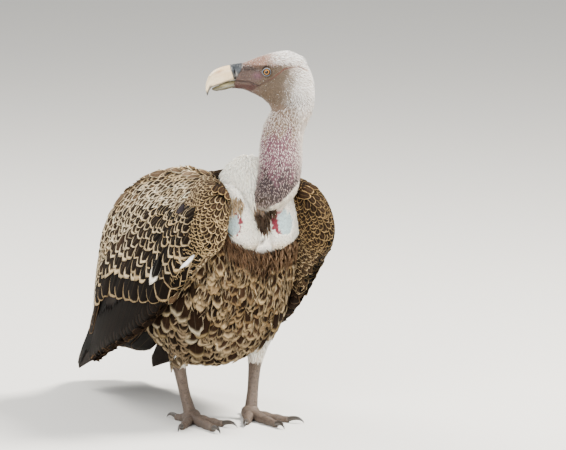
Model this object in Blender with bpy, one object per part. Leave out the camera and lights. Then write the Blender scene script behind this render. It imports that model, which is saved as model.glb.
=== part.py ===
"""A Rueppell's griffon vulture standing on the ground, wings folded, looking over its right shoulder.

Frame: +Z up, the bird faces -Y and its left side is +X. Lengths are in metres. The bird is modelled
about the point on the floor between its feet and moved at the end, so that the origin is the centre
of the floor under its whole box. Flesh and plumage are lofts through stations: a station says where
the body's upper and lower outlines pass and how wide the body is there. Pieces that lie against each
other are parted by carving the one with the other, swollen by GAP.
"""

import math

import bmesh
import bpy
import numpy as np
from mathutils import Vector

# ---------------------------------------------------------------- driving dimensions
GAP = 0.0003  # clearance between neighbouring pieces
HEAD_TURN = math.radians(114)  # how far the face is turned to the bird's right
EYE_LEVEL = (0.0208, -0.1078, 0.563)  # the point between the two eyes
EYE_RADIUS = 0.0084
EYE_SIDE = 0.0175  # from the head's middle to the centre of an eye
FOOT = (0.050, 0.020, 0.013)  # the left foot's joint; the right one is mirrored
FOOT_PAD = (0.0150, 0.0165, 0.0125)  # half sizes of the pad that the toes spring from
CLAW_LENGTH = 0.026
TOE_ROOT = 0.008  # how far from the foot's middle a toe starts, inside the pad
TOE_RISE = 0.003  # how much higher its root lies

# Trunk stations from the neck's root to the tail's root:
# back (y, z), breast or belly (y, z), half width, how far the widest line lies towards the belly
TRUNK = (
    (-0.062, 0.408, -0.116, 0.352, 0.044, 0.00),
    (-0.042, 0.404, -0.127, 0.318, 0.064, 0.05),
    (-0.010, 0.397, -0.125, 0.272, 0.080, 0.08),
    (0.038, 0.383, -0.102, 0.215, 0.090, 0.10),
    (0.085, 0.362, -0.066, 0.160, 0.096, 0.12),
    (0.134, 0.337, -0.018, 0.114, 0.096, 0.12),
    (0.184, 0.302, 0.045, 0.086, 0.089, 0.08),
    (0.230, 0.260, 0.118, 0.094, 0.078, 0.04),
    (0.266, 0.221, 0.190, 0.120, 0.062, 0.00),
    (0.290, 0.192, 0.240, 0.142, 0.044, 0.00),
)

# Head and neck stations from the face to the neck's root, measured from EYE_LEVEL:
# crown or nape (forward, up), chin or throat (forward, up), half width, shift to the head's left
HEAD_AND_NECK = (
    (0.0364, 0.0110, 0.0538, -0.0280, 0.0140, 0.000),
    (0.0248, 0.0158, 0.0368, -0.0295, 0.0174, 0.000),
    (0.0068, 0.0222, 0.0268, -0.0330, 0.0205, 0.000),
    (-0.0132, 0.0264, 0.0168, -0.0375, 0.0242, 0.000),
    (-0.0362, 0.0272, 0.0068, -0.0430, 0.0292, 0.000),
    (-0.0570, 0.0160, -0.0022, -0.0510, 0.0305, 0.000),
    (-0.0712, -0.0110, -0.0067, -0.0580, 0.0305, 0.000),
    (-0.0742, -0.0430, -0.0062, -0.0640, 0.0310, 0.000),
    (-0.0692, -0.0680, -0.0012, -0.0740, 0.0320, 0.000),
    (-0.0589, -0.0920, 0.0054, -0.0890, 0.0325, 0.001),
    (-0.0552, -0.1130, 0.0108, -0.1170, 0.0330, 0.006),
    (-0.0542, -0.1480, 0.0128, -0.1510, 0.0335, 0.015),
    (-0.0492, -0.1780, 0.0168, -0.1860, 0.0335, 0.021),
    (-0.0440, -0.1985, 0.0172, -0.2070, 0.0325, 0.013),
    (-0.0310, -0.2130, 0.0105, -0.2180, 0.0260, -0.006),
)
HEAD_ENDS = 8.0  # stations at which the neck's pieces start
NECK_PARTS = 10.6
NECK_STATION_LENGTH = 0.03  # about how far apart the neck's stations lie

# The bill and cere in the same measure, without the shift: upper line, lower line, half width
CERE = (
    (0.0368, 0.0108, 0.0493, -0.0135, 0.0139),
    (0.0440, 0.0103, 0.0496, -0.0135, 0.0134),
    (0.0510, 0.0093, 0.0499, -0.0135, 0.0129),
    (0.0580, 0.0078, 0.0502, -0.0135, 0.0124),
)
UPPER_BILL = (
    (0.0585, 0.0077, 0.0508, -0.0150, 0.0123),
    (0.0690, 0.0050, 0.0595, -0.0175, 0.0112),
    (0.0797, 0.0003, 0.0705, -0.0218, 0.0096),
    (0.0877, -0.0072, 0.0790, -0.0243, 0.0078),
    (0.0924, -0.0172, 0.0845, -0.0262, 0.0056),
    (0.0938, -0.0282, 0.0885, -0.0320, 0.0033),
    (0.0922, -0.0380, 0.0908, -0.0392, 0.0012),
)
LOWER_BILL = (
    (0.0518, -0.0165, 0.0546, -0.0277, 0.0110),
    (0.0605, -0.0187, 0.0620, -0.0298, 0.0096),
    (0.0705, -0.0228, 0.0716, -0.0316, 0.0078),
    (0.0785, -0.0254, 0.0792, -0.0321, 0.0055),
    (0.0838, -0.0278, 0.0842, -0.0306, 0.0026),
)

NOSTRIL = (0.0495, -0.001)  # forward, up
NOSTRIL_HALF = (0.0012, 0.0046)  # half width and half height of the slit
NOSTRIL_LEAN = 0.0011  # how far its top leans backwards
NOSTRIL_DEPTH = (0.0092, 0.0152)  # from the head's middle: the bottom of the hole, and outside the cere

# The ruff's levels from its foot up: x, y, z, half width, half depth
RUFF = (
    (0.004, -0.080, 0.345, 0.062, 0.048),
    (0.003, -0.078, 0.372, 0.055, 0.044),
    (0.002, -0.074, 0.397, 0.047, 0.037),
    (0.002, -0.074, 0.411, 0.037, 0.030),
    (0.002, -0.074, 0.421, 0.026, 0.022),
    (0.002, -0.075, 0.429, 0.010, 0.010),
)

# A breast pad's levels from its top down: x outwards from the cleft, y, z, half width, half depth
CLEFT = 0.012  # how far the cleft between the pads is pushed to the left by the turned neck
BREAST_PAD = (
    (0.050, -0.094, 0.392, 0.008, 0.010),
    (0.046, -0.103, 0.378, 0.020, 0.022),
    (0.039, -0.107, 0.352, 0.031, 0.028),
    (0.036, -0.108, 0.326, 0.033, 0.030),
    (0.031, -0.110, 0.304, 0.028, 0.025),
    (0.022, -0.113, 0.286, 0.014, 0.013),
)

# The left thigh's levels down to the ankle, and the tarsus below it, in the same measure
THIGH = (
    (0.056, -0.010, 0.215, 0.030, 0.040),
    (0.058, -0.004, 0.180, 0.033, 0.046),
    (0.061, 0.010, 0.148, 0.029, 0.038),
    (0.064, 0.024, 0.122, 0.020, 0.025),
    (0.065, 0.033, 0.102, 0.0150, 0.0185),
    (0.0645, 0.035, 0.087, 0.0125, 0.0150),
)
TARSUS = (
    (0.0645, 0.0350, 0.0867, 0.0105, 0.0120),
    (0.0625, 0.0335, 0.0760, 0.0094, 0.0098),
    (0.0580, 0.0290, 0.0480, 0.0086, 0.0082),
    (0.0535, 0.0240, 0.0260, 0.0094, 0.0096),
    (0.0505, 0.0210, 0.0120, 0.0108, 0.0115),
)

# Folded wing stations from the wrist to the tip: upper edge (y, z), lower edge (y, z),
# distance of the middle from the bird's plane, half thickness, lean of the upper edge inwards
WING = (
    (-0.156, 0.372, -0.166, 0.336, 0.084, 0.013, 0.008),
    (-0.132, 0.391, -0.160, 0.300, 0.090, 0.025, 0.018),
    (-0.085, 0.397, -0.120, 0.274, 0.097, 0.027, 0.032),
    (-0.025, 0.397, -0.070, 0.236, 0.104, 0.022, 0.042),
    (0.045, 0.391, -0.015, 0.190, 0.110, 0.017, 0.044),
    (0.110, 0.375, 0.045, 0.154, 0.113, 0.014, 0.038),
    (0.172, 0.348, 0.120, 0.122, 0.110, 0.012, 0.028),
    (0.238, 0.303, 0.198, 0.098, 0.103, 0.010, 0.016),
    (0.288, 0.235, 0.268, 0.077, 0.092, 0.008, 0.010),
    (0.330, 0.163, 0.330, 0.058, 0.079, 0.006, 0.007),
    (0.388, 0.097, 0.390, 0.042, 0.069, 0.004, 0.004),
    (0.440, 0.044, 0.440, 0.028, 0.061, 0.002, 0.001),
)
WING_SET = {"left": (0.003, 0.0, -0.006), "right": (0.0, 0.0, 0.0)}  # the left one hangs a little lower
# Each piece of a wing: first and last station, highest and lowest share of the wing's depth, and how
# far its outer face stands out
WING_PIECES = {
    "wrist": (0.0, 3.0, 0.0, 1.0, 0.0),
    "scapulars": (3.0, 7.0, 0.0, 0.28, 0.004),
    "coverts": (3.0, 7.0, 0.28, 0.84, 0.0),
    "hand": (3.0, 7.0, 0.84, 1.0, -0.002),
    "secondaries": (7.0, 9.2, 0.0, 1.0, -0.001),
    "primaries": (9.2, 11.0, 0.0, 1.0, -0.0005),
}
DARK_PIECES = ("hand", "secondaries", "primaries")
STATION_LENGTH, WING_DEPTH = 0.06, 0.16  # about how far apart the stations lie, and how deep the wing is

TAIL_ROOT = (0.240, 0.164)  # y, z
TAIL_TIP = (0.470, 0.040)
TAIL_HALF_WIDTH = (0.026, 0.053)  # at the root and near the tip
TAIL_HALF_THICKNESS = (0.011, 0.0022)
TAIL_FEATHERS = 12

# Toes of a left foot: heading from straight ahead towards the outer side, length, radius at the root
TOES = {
    "1": (math.radians(168), 0.040, 0.0078),
    "2": (math.radians(-30), 0.062, 0.0080),
    "3": (math.radians(2), 0.094, 0.0084),
    "4": (math.radians(36), 0.070, 0.0078),
}

COLOURS = {  # linear red, green and blue, then roughness
    "plumage": (0.13, 0.085, 0.045, 0.85),
    "dark_plumage": (0.025, 0.017, 0.010, 0.80),
    "white_down": (0.80, 0.76, 0.68, 0.95),
    "neck_skin": (0.30, 0.18, 0.17, 0.80),
    "face_skin": (0.32, 0.25, 0.20, 0.80),
    "cere_skin": (0.10, 0.11, 0.12, 0.60),
    "horn": (0.72, 0.58, 0.42, 0.35),
    "iris": (0.45, 0.24, 0.06, 0.10),
    "leg_scales": (0.22, 0.17, 0.13, 0.75),
    "claw_horn": (0.02, 0.017, 0.015, 0.40),
}


# ---------------------------------------------------------------- shapes in numbers
def curve_through(stations, where):
    """A smooth (Catmull-Rom) reading of the rows of stations at the fractional row numbers in where."""
    rows = np.asarray(stations, float)
    ahead = 2 * rows[0] - rows[1]
    behind = 2 * rows[-1] - rows[-2]
    rows = np.vstack([ahead, rows, behind])
    where = np.asarray(where, float)
    start = np.clip(np.floor(where).astype(int), 0, len(rows) - 4)
    t = (where - start)[:, None]
    a, b, c, d = (rows[start + k] for k in range(4))
    return 0.5 * (2 * b + (c - a) * t + (2 * a - 5 * b + 4 * c - d) * t**2 + (3 * b - a - 3 * c + d) * t**3)


def rounded(values, fullness):
    """Cosines or sines of a ring's angles, pressed towards a box as fullness grows past 2."""
    return np.sign(values) * np.abs(values) ** (2 / fullness)


def rings_between(upper, lower, side, half_width, around, fullness=2.2, low_width=0.0):
    """One closed ring for each pair of an upper and a lower outline point, as an array (rings, around, 3).

    Across the chord between the two points the ring reaches half_width towards side and away from it;
    low_width moves its widest line from the chord's middle towards the lower point.
    """
    angle = np.linspace(0, 2 * np.pi, around, endpoint=False)
    out, up = rounded(np.cos(angle), fullness), rounded(np.sin(angle), fullness)
    middle, chord = (upper + lower) / 2, (upper - lower) / 2
    low_width = np.broadcast_to(low_width, len(upper))
    reach = np.asarray(half_width)[:, None] * out * (1 - low_width[:, None] * up)
    return middle[:, None] + chord[:, None] * up[None, :, None] + reach[..., None] * np.asarray(side)


def turned(forward, left, up):
    """Head measures to the bird's frame."""
    face = np.array([-math.sin(HEAD_TURN), -math.cos(HEAD_TURN), 0.0])
    cheek = np.array([-face[1], face[0], 0.0])
    parts = (np.asarray(forward)[..., None] * face, np.asarray(left)[..., None] * cheek)
    return np.array(EYE_LEVEL) + parts[0] + parts[1] + np.asarray(up)[..., None] * np.array([0, 0, 1.0])


def head_side():
    return turned(0.0, 1.0, 0.0) - turned(0.0, 0.0, 0.0)


def in_plane(y, z):
    return np.stack([np.zeros_like(y), y, z], axis=-1)


def head_rings(first, last, count, around):
    table = curve_through(HEAD_AND_NECK, np.linspace(first, last, count))
    upper = turned(table[:, 0], table[:, 5], table[:, 1])
    lower = turned(table[:, 2], table[:, 5], table[:, 3])
    return rings_between(upper, lower, head_side(), table[:, 4], around)


def bill_rings(stations, count, around, low_width):
    table = curve_through(stations, np.linspace(0, len(stations) - 1, count))
    upper = turned(table[:, 0], 0.0 * table[:, 0], table[:, 1])
    lower = turned(table[:, 2], 0.0 * table[:, 2], table[:, 3])
    return rings_between(upper, lower, head_side(), table[:, 4], around, 2.1, low_width)


def trunk_rings(count, around):
    table = curve_through(TRUNK, np.linspace(0, len(TRUNK) - 1, count))
    upper, lower = in_plane(table[:, 0], table[:, 1]), in_plane(table[:, 2], table[:, 3])
    return rings_between(upper, lower, (1.0, 0.0, 0.0), table[:, 4], around, 2.25, table[:, 5])


def wing_point(station, depth, outward, layer):
    """A point of the left wing: depth runs from 0 at the upper edge to 1 at the lower one.

    The wing is a lens in section: at the middle of its depth its faces lie half a thickness to each
    side of the middle surface, which leans inwards towards the upper edge. outward is 1 or -1.
    """
    table = curve_through(WING, station.ravel()).reshape(station.shape + (7,))
    y, z = (table[..., k] + (table[..., k + 2] - table[..., k]) * depth for k in (0, 1))
    bulge = np.sqrt(np.clip(1 - (2 * depth - 1) ** 2, 0, 1))
    middle = table[..., 4] - table[..., 6] * (1 - depth) ** 2
    half = table[..., 5] * (0.25 + 0.75 * bulge) + layer
    return np.stack([middle + outward * half, y, z], axis=-1)


# ---------------------------------------------------------------- numbers to objects
def collection(name):
    found = bpy.data.collections.new(name)
    bpy.context.scene.collection.children.link(found)
    return found


def material(name):
    red, green, blue, roughness = COLOURS[name]
    made = bpy.data.materials.get(name) or bpy.data.materials.new(name)
    made.use_nodes = True
    shader = made.node_tree.nodes["Principled BSDF"]
    shader.inputs["Base Color"].default_value = (red, green, blue, 1.0)
    shader.inputs["Roughness"].default_value = roughness
    made.diffuse_color = (red, green, blue, 1.0)
    return made


def mesh_object(name, bm, colour, smooth_angle=50):
    """An object in flat triangles, so that a piece and the one carved by it see the same surface."""
    bmesh.ops.triangulate(bm, faces=bm.faces, quad_method="FIXED")
    bmesh.ops.recalc_face_normals(bm, faces=bm.faces)
    mesh = bpy.data.meshes.new(name)
    bm.to_mesh(mesh)
    bm.free()
    mesh.materials.append(material(colour))
    mesh.shade_smooth()
    mesh.set_sharp_from_angle(angle=math.radians(smooth_angle))
    obj = bpy.data.objects.new(name, mesh)
    BIRD.objects.link(obj)
    return obj


def loft(name, rings, colour):
    """A closed solid through the rings, with a flat cap at each end."""
    bm = bmesh.new()
    grid = [[bm.verts.new(p) for p in ring] for ring in rings]
    around = len(grid[0])
    for near, far in zip(grid, grid[1:]):
        for k in range(around):
            bm.faces.new((near[k], near[(k + 1) % around], far[(k + 1) % around], far[k]))
    bm.faces.new(grid[0])
    bm.faces.new(grid[-1])
    return mesh_object(name, bm, colour)


def shell_patch(name, outer, inner, colour):
    """A closed plate between two grids of the same size, walled along their four edges."""
    bm = bmesh.new()
    top = [[bm.verts.new(p) for p in row] for row in outer]
    bottom = [[bm.verts.new(p) for p in row] for row in inner]
    rows, columns = len(top), len(top[0])
    for i in range(rows - 1):
        for k in range(columns - 1):
            bm.faces.new((top[i][k], top[i][k + 1], top[i + 1][k + 1], top[i + 1][k]))
            bm.faces.new((bottom[i][k], bottom[i + 1][k], bottom[i + 1][k + 1], bottom[i][k + 1]))
    edge = [(0, k) for k in range(columns)] + [(i, columns - 1) for i in range(1, rows)]
    edge += [(rows - 1, k) for k in range(columns - 2, -1, -1)] + [(i, 0) for i in range(rows - 2, 0, -1)]
    for (i, k), (j, m) in zip(edge, edge[1:] + edge[:1]):
        bm.faces.new((top[i][k], top[j][m], bottom[j][m], bottom[i][k]))
    return mesh_object(name, bm, colour)


def tube_rings(path, radii, around, squash=1.0):
    """Round rings square to a path; squash makes them lower than they are wide."""
    path, radii = np.asarray(path, float), np.asarray(radii, float)
    along = np.gradient(path, axis=0)
    along /= np.linalg.norm(along, axis=1, keepdims=True)
    side = np.cross(along, (0.0, 0.0, 1.0))
    short = np.linalg.norm(side, axis=1) < 1e-3
    side[short] = (1.0, 0.0, 0.0)
    side /= np.linalg.norm(side, axis=1, keepdims=True)
    up = np.cross(side, along)
    angle = np.linspace(0, 2 * np.pi, around, endpoint=False)
    across = side[:, None] * np.cos(angle)[None, :, None]
    rise = up[:, None] * (squash * np.sin(angle))[None, :, None]
    return path[:, None] + (across + rise) * radii[:, None, None]


def stacked_rings(levels, count, around, fullness=2.0):
    """Level rings on top of each other; each row of levels is x, y, z, half width, half depth."""
    table = curve_through(levels, np.linspace(0, len(levels) - 1, count))
    angle = np.linspace(0, 2 * np.pi, around, endpoint=False)
    x = table[:, 0, None] + table[:, 3, None] * rounded(np.cos(angle), fullness)
    y = table[:, 1, None] + table[:, 4, None] * rounded(np.sin(angle), fullness)
    return np.stack([x, y, table[:, 2, None] + 0 * angle], axis=-1)


def on_floor(rings):
    """Rings with all that would be below the floor pressed flat onto it."""
    rings = np.array(rings)
    rings[..., 2] = np.maximum(rings[..., 2], 0.0)
    return rings


def mirrored(rings, side):
    """Rings of the left side as they are, or thrown over to the right."""
    return np.asarray(rings) * (side, 1.0, 1.0)


def swollen(obj, gap):
    """A helper with the shape of obj, gap larger all round."""
    mesh = obj.data.copy()
    places = np.array([v.co for v in mesh.vertices])
    normals = np.array([v.normal for v in mesh.vertices])
    mesh.vertices.foreach_set("co", (places + normals * gap).ravel())
    helper = bpy.data.objects.new(obj.name + ".room", mesh)
    helper.hide_render = True
    helper.display_type = "WIRE"
    CUTTERS.objects.link(helper)
    return helper


def carve_with(obj, name, rings):
    """Takes a plain loft out of obj."""
    hole = loft(name + ".cutter", rings, "cere_skin")
    BIRD.objects.unlink(hole)
    CUTTERS.objects.link(hole)
    hole.hide_render = True
    hole.display_type = "WIRE"
    cut = obj.modifiers.new(name, "BOOLEAN")
    cut.operation = "DIFFERENCE"
    cut.solver = "EXACT"
    cut.object = hole


def carve(obj, *others):
    """Takes from obj the room that the others need."""
    for other in others:
        cut = obj.modifiers.new("room_for_" + other.name, "BOOLEAN")
        cut.operation = "DIFFERENCE"
        cut.solver = "EXACT"
        cut.object = swollen(other, GAP)
    return obj


# ---------------------------------------------------------------- the bird, piece by piece
def build_trunk():
    return loft("trunk", trunk_rings(18, 18), "plumage")


def build_head_and_neck(trunk):
    crack = GAP / NECK_STATION_LENGTH
    head = loft("head", head_rings(0, HEAD_ENDS, 16, 14), "face_skin")
    upper = loft("neck_upper", head_rings(HEAD_ENDS + crack, NECK_PARTS, 5, 14), "neck_skin")
    lower = loft("neck_lower", head_rings(NECK_PARTS + crack, 14, 8, 14), "neck_skin")
    carve(lower, trunk)
    return head, upper, lower


def build_eyes(head):
    eyes = []
    for name, side in (("left", 1), ("right", -1)):
        bm = bmesh.new()
        bmesh.ops.create_uvsphere(bm, u_segments=12, v_segments=8, radius=EYE_RADIUS)
        bmesh.ops.translate(bm, verts=bm.verts, vec=turned(0.0, side * EYE_SIDE, 0.0))
        eyes.append(mesh_object("eye_" + name, bm, "iris"))
    carve(head, *eyes)
    return eyes


def build_bill():
    cere = loft("cere", bill_rings(CERE, 4, 12, 0.12), "cere_skin")
    upper = loft("bill_upper", bill_rings(UPPER_BILL, 12, 12, 0.22), "horn")
    lower = loft("bill_lower", bill_rings(LOWER_BILL, 7, 10, -0.15), "horn")
    for name, side in (("left", 1), ("right", -1)):
        turn = np.linspace(0, 2 * np.pi, 8, endpoint=False)
        forward = NOSTRIL[0] + NOSTRIL_HALF[0] * np.cos(turn) - NOSTRIL_LEAN * np.sin(turn)
        up = NOSTRIL[1] + NOSTRIL_HALF[1] * np.sin(turn)
        rings = [turned(forward, np.full(8, left), up) for left in side * np.linspace(*NOSTRIL_DEPTH, 3)]
        carve_with(cere, "nostril_" + name, rings)
    return cere, upper, lower


def build_ruff(trunk, neck):
    """The collar of white down: a mound behind the neck that runs forward on both sides of it."""
    ruff = loft("ruff", stacked_rings(RUFF, 7, 12), "white_down")
    return carve(ruff, trunk, neck)


def build_breast_pads(trunk, neck, ruff):
    """The two downy cushions beside the crop, each with its bare patch."""
    pads = []
    for name, side in (("left", 1), ("right", -1)):
        rings = mirrored(stacked_rings(BREAST_PAD, 7, 10), side) + (CLEFT, 0.0, 0.0)
        pad = loft("breast_pad_" + name, rings, "white_down")
        pads.append(carve(pad, trunk, neck, ruff))
    carve(pads[1], pads[0])
    return pads


def build_wing(name, side, trunk, neck, pads, ruff, thigh):
    crack_along, crack_down = GAP / 2 / STATION_LENGTH, GAP / 2 / WING_DEPTH
    for piece, (first, last, top, bottom, layer) in WING_PIECES.items():
        first += crack_along if first > 0 else 0
        last -= crack_along if last < len(WING) - 1 else 0
        top += crack_down if top > 0 else 0
        bottom -= crack_down if bottom < 1 else 0
        rows = max(3, round((last - first) * 1.7) + 1)
        columns = max(3, round((bottom - top) * 8) + 1)
        stations, depths = np.linspace(first, last, rows), np.linspace(top, bottom, columns)
        station, depth = np.meshgrid(stations, depths, indexing="ij")
        outer = mirrored(wing_point(station, depth, 1, layer), side) + WING_SET[name]
        inner = mirrored(wing_point(station, depth, -1, 0.0), side) + WING_SET[name]
        colour = "dark_plumage" if piece in DARK_PIECES else "plumage"
        plate = shell_patch(f"wing_{name}_{piece}", outer, inner, colour)
        if first < 8:
            carve(plate, trunk)
        if piece == "wrist":
            carve(plate, pads[0] if side > 0 else pads[1], ruff, neck)
        if piece in ("hand", "coverts", "secondaries"):
            carve(plate, thigh)
        if piece == "scapulars":
            carve(plate, ruff)


def build_tail(trunk):
    """A folded fan of feathers with a rounded, toothed end."""
    root, tip = np.array(TAIL_ROOT), np.array(TAIL_TIP)
    across = np.linspace(-1, 1, 2 * TAIL_FEATHERS + 1)
    along = np.array([0.0, 0.4, 0.8, 1.0])
    tooth = 0.010 * np.abs(np.sin(np.pi * TAIL_FEATHERS / 2 * across))
    reach = 1 - 0.07 * across**2 + (tooth - 0.010) / np.linalg.norm(tip - root)
    share = along[:, None] * reach[None, :]
    width = np.interp(along, (0, 0.75, 1), (TAIL_HALF_WIDTH[0], TAIL_HALF_WIDTH[1], TAIL_HALF_WIDTH[1]))
    thick = np.interp(along, (0, 1), TAIL_HALF_THICKNESS)[:, None]
    x = width[:, None] * across[None, :]
    y, z = (root[k] + (tip[k] - root[k]) * share for k in (0, 1))
    arch = 0.014 * (1 - across**2)[None, :] * (0.4 + 0.6 * along[:, None])
    lens = thick * (0.35 + 0.65 * np.sqrt(1 - across**2))[None, :]
    outer = np.stack([x, y, z + arch + lens], axis=-1)
    inner = np.stack([x, y, z + arch - lens], axis=-1)
    tail = shell_patch("tail", outer, inner, "dark_plumage")
    return carve(tail, trunk)


def build_foot(name, side, tarsus):
    """The pad that the toes spring from."""
    levels = np.linspace(0, np.pi, 7)[:-1]
    z = 0.0105 + FOOT_PAD[2] * np.cos(levels)
    wide = np.sqrt(1 - 0.94 * np.cos(levels) ** 2)
    rows = [(FOOT[0], FOOT[1], max(h, 0.0), FOOT_PAD[0] * w, FOOT_PAD[1] * w) for h, w in zip(z, wide)]
    rings = mirrored(stacked_rings(rows, len(rows), 10), side)
    return carve(loft("foot_" + name, rings, "leg_scales"), tarsus)


def build_leg(name, side, trunk):
    thigh = loft("thigh_" + name, mirrored(stacked_rings(THIGH, 7, 10), side), "plumage")
    carve(thigh, trunk)
    tarsus = loft("tarsus_" + name, mirrored(stacked_rings(TARSUS, 7, 10), side), "leg_scales")
    foot = build_foot(name, side, tarsus)
    toes = {}
    for toe, (heading, length, radius) in TOES.items():
        way = np.array([math.sin(heading), -math.cos(heading), 0.0])
        share = np.linspace(0, 1, 6)
        pads = 1 + 0.10 * np.cos(2 * np.pi * share * (2 if toe == "1" else 3))
        radii = radius * (1 - 0.34 * share) * pads
        path = np.array(FOOT) * (1, 1, 0) + way * (TOE_ROOT + share * (length - TOE_ROOT))[:, None]
        path[:, 2] = 0.86 * radii + TOE_RISE * (1 - share) ** 3
        rings = tube_rings(path, radii, 6)
        piece = loft(f"toe_{name}_{toe}", on_floor(mirrored(rings, side)), "leg_scales")
        toes[toe] = carve(piece, foot, tarsus)

        bend = np.linspace(0, 1, 5)
        tip = path[-1] + way * GAP
        claw_path = tip + way * (CLAW_LENGTH * np.sin(bend * 1.35) / np.sin(1.35))[:, None]
        claw_path[:, 2] = tip[2] + 0.0035 * np.sin(np.pi * bend) - (tip[2] - 0.0012) * bend**2
        claw_radii = radii[-1] * 0.80 * (1 - 0.86 * bend**1.3)
        rings = tube_rings(claw_path, claw_radii, 5)
        claw = loft(f"claw_{name}_{toe}", on_floor(mirrored(rings, side)), "claw_horn")
        carve(claw, piece)
    carve(toes["2"], toes["3"])
    carve(toes["4"], toes["3"])
    return thigh


def settle_on_origin():
    """Moves the whole bird so that the origin is the centre of the floor under its box."""
    bpy.context.view_layer.update()
    graph = bpy.context.evaluated_depsgraph_get()
    corners = []
    for obj in BIRD.objects:
        shown = obj.evaluated_get(graph)
        corners += [shown.matrix_world @ Vector(corner) for corner in shown.bound_box]
    corners = np.array(corners)
    low, high = corners.min(0), corners.max(0)
    shift = -np.array([(low[0] + high[0]) / 2, (low[1] + high[1]) / 2, low[2]])
    for obj in list(BIRD.objects) + list(CUTTERS.objects):
        obj.location = shift
    print("moved by", np.round(shift, 5))


for old in list(bpy.data.objects):
    bpy.data.objects.remove(old)
BIRD = collection("griffon_vulture")
CUTTERS = collection("cutters")
CUTTERS.hide_render = True

trunk_piece = build_trunk()
head_piece, neck_upper_piece, neck_lower_piece = build_head_and_neck(trunk_piece)
build_eyes(head_piece)
build_bill()
ruff_piece = build_ruff(trunk_piece, neck_lower_piece)
pad_pieces = build_breast_pads(trunk_piece, neck_lower_piece, ruff_piece)
build_tail(trunk_piece)
for side_name, side_sign in (("left", 1), ("right", -1)):
    thigh_piece = build_leg(side_name, side_sign, trunk_piece)
    build_wing(side_name, side_sign, trunk_piece, neck_lower_piece, pad_pieces, ruff_piece, thigh_piece)
settle_on_origin()
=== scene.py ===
# %% [markdown]
# # A Rueppell's vulture at rest
# The bird stands on the floor with folded wings and looks over its right shoulder. A museum model of it
# has three layers, and this script makes them in that order: one skin over the whole body, then the hard
# parts that grow out of it (bill, eyes, claws), then the coat, which is many thousands of separate
# feathers and tufts of down. Every shape is worked out with numpy from a few measured outlines.

import math

import bpy
import numpy as np
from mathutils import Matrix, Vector
from mathutils.bvhtree import BVHTree


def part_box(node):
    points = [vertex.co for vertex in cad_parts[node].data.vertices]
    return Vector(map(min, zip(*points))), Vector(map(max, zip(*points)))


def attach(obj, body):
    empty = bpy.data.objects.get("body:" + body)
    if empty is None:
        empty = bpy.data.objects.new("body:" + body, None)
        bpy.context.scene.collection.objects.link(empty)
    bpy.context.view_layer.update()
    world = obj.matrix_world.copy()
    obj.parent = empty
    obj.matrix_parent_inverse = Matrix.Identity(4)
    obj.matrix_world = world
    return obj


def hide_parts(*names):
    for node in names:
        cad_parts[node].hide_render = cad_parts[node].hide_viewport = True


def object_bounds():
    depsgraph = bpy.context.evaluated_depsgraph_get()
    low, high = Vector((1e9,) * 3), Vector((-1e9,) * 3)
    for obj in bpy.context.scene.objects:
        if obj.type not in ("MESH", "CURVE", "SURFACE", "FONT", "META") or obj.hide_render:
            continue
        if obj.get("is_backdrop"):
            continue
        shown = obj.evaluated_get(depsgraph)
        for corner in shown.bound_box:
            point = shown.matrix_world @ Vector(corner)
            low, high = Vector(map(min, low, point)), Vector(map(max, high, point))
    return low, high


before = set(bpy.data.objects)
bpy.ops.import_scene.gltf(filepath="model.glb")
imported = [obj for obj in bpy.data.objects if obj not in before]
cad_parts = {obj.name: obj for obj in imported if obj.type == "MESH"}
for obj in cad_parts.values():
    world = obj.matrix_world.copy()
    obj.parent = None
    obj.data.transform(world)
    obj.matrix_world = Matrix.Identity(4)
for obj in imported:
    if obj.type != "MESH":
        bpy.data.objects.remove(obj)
cad_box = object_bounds()
nodes = set(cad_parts)
print(len(nodes), "nodes in the frame")

# %% [markdown]
# ## Where things are
# The outlines below are given about the point on the floor between the feet, with the bird facing -Y and
# its left side at +X. The frame is centred on the bird's whole box instead, so every finished mesh is
# moved by one fixed step, which is read from the two eyes. Head measures are taken from the point
# between the eyes: forward along the bill, left, and up.

# %% The bird's own measures
EYE_MIDDLE = np.array([0.0208, -0.1078, 0.563])
EYE_RADIUS = 0.0084
HEAD_TURN = math.radians(114)  # how far the face is turned to the right
MM = 0.001


def node_middle(node):
    low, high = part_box(node)
    return (np.array(low) + np.array(high)) / 2


STEP = (node_middle("eye_left") + node_middle("eye_right")) / 2 - EYE_MIDDLE
FACE = np.array([-math.sin(HEAD_TURN), -math.cos(HEAD_TURN), 0.0])
CHEEK = np.array([-FACE[1], FACE[0], 0.0])
UP = np.array([0.0, 0.0, 1.0])


def head_place(forward, left, up):
    """Point = eye middle + forward * face + left * cheek + up * z, for arrays of head measures."""
    forward, left, up = np.broadcast_arrays(forward, left, up)
    return EYE_MIDDLE + forward[..., None] * FACE + left[..., None] * CHEEK + up[..., None] * UP


def head_measure(points):
    """The reverse: how far forward, left and up of the eye middle each point is, in millimetres."""
    offset = (points - EYE_MIDDLE) / MM
    return offset @ FACE, offset @ CHEEK, offset[..., 2]


print("step from the feet to the frame's origin", np.round(STEP, 5))

# %% [markdown]
# ## The outlines
# A body without bones in the model is described by stations: at each one, where its upper and its lower
# outline pass and how wide it is. Between stations a Catmull-Rom curve reads the same numbers smoothly.

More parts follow.
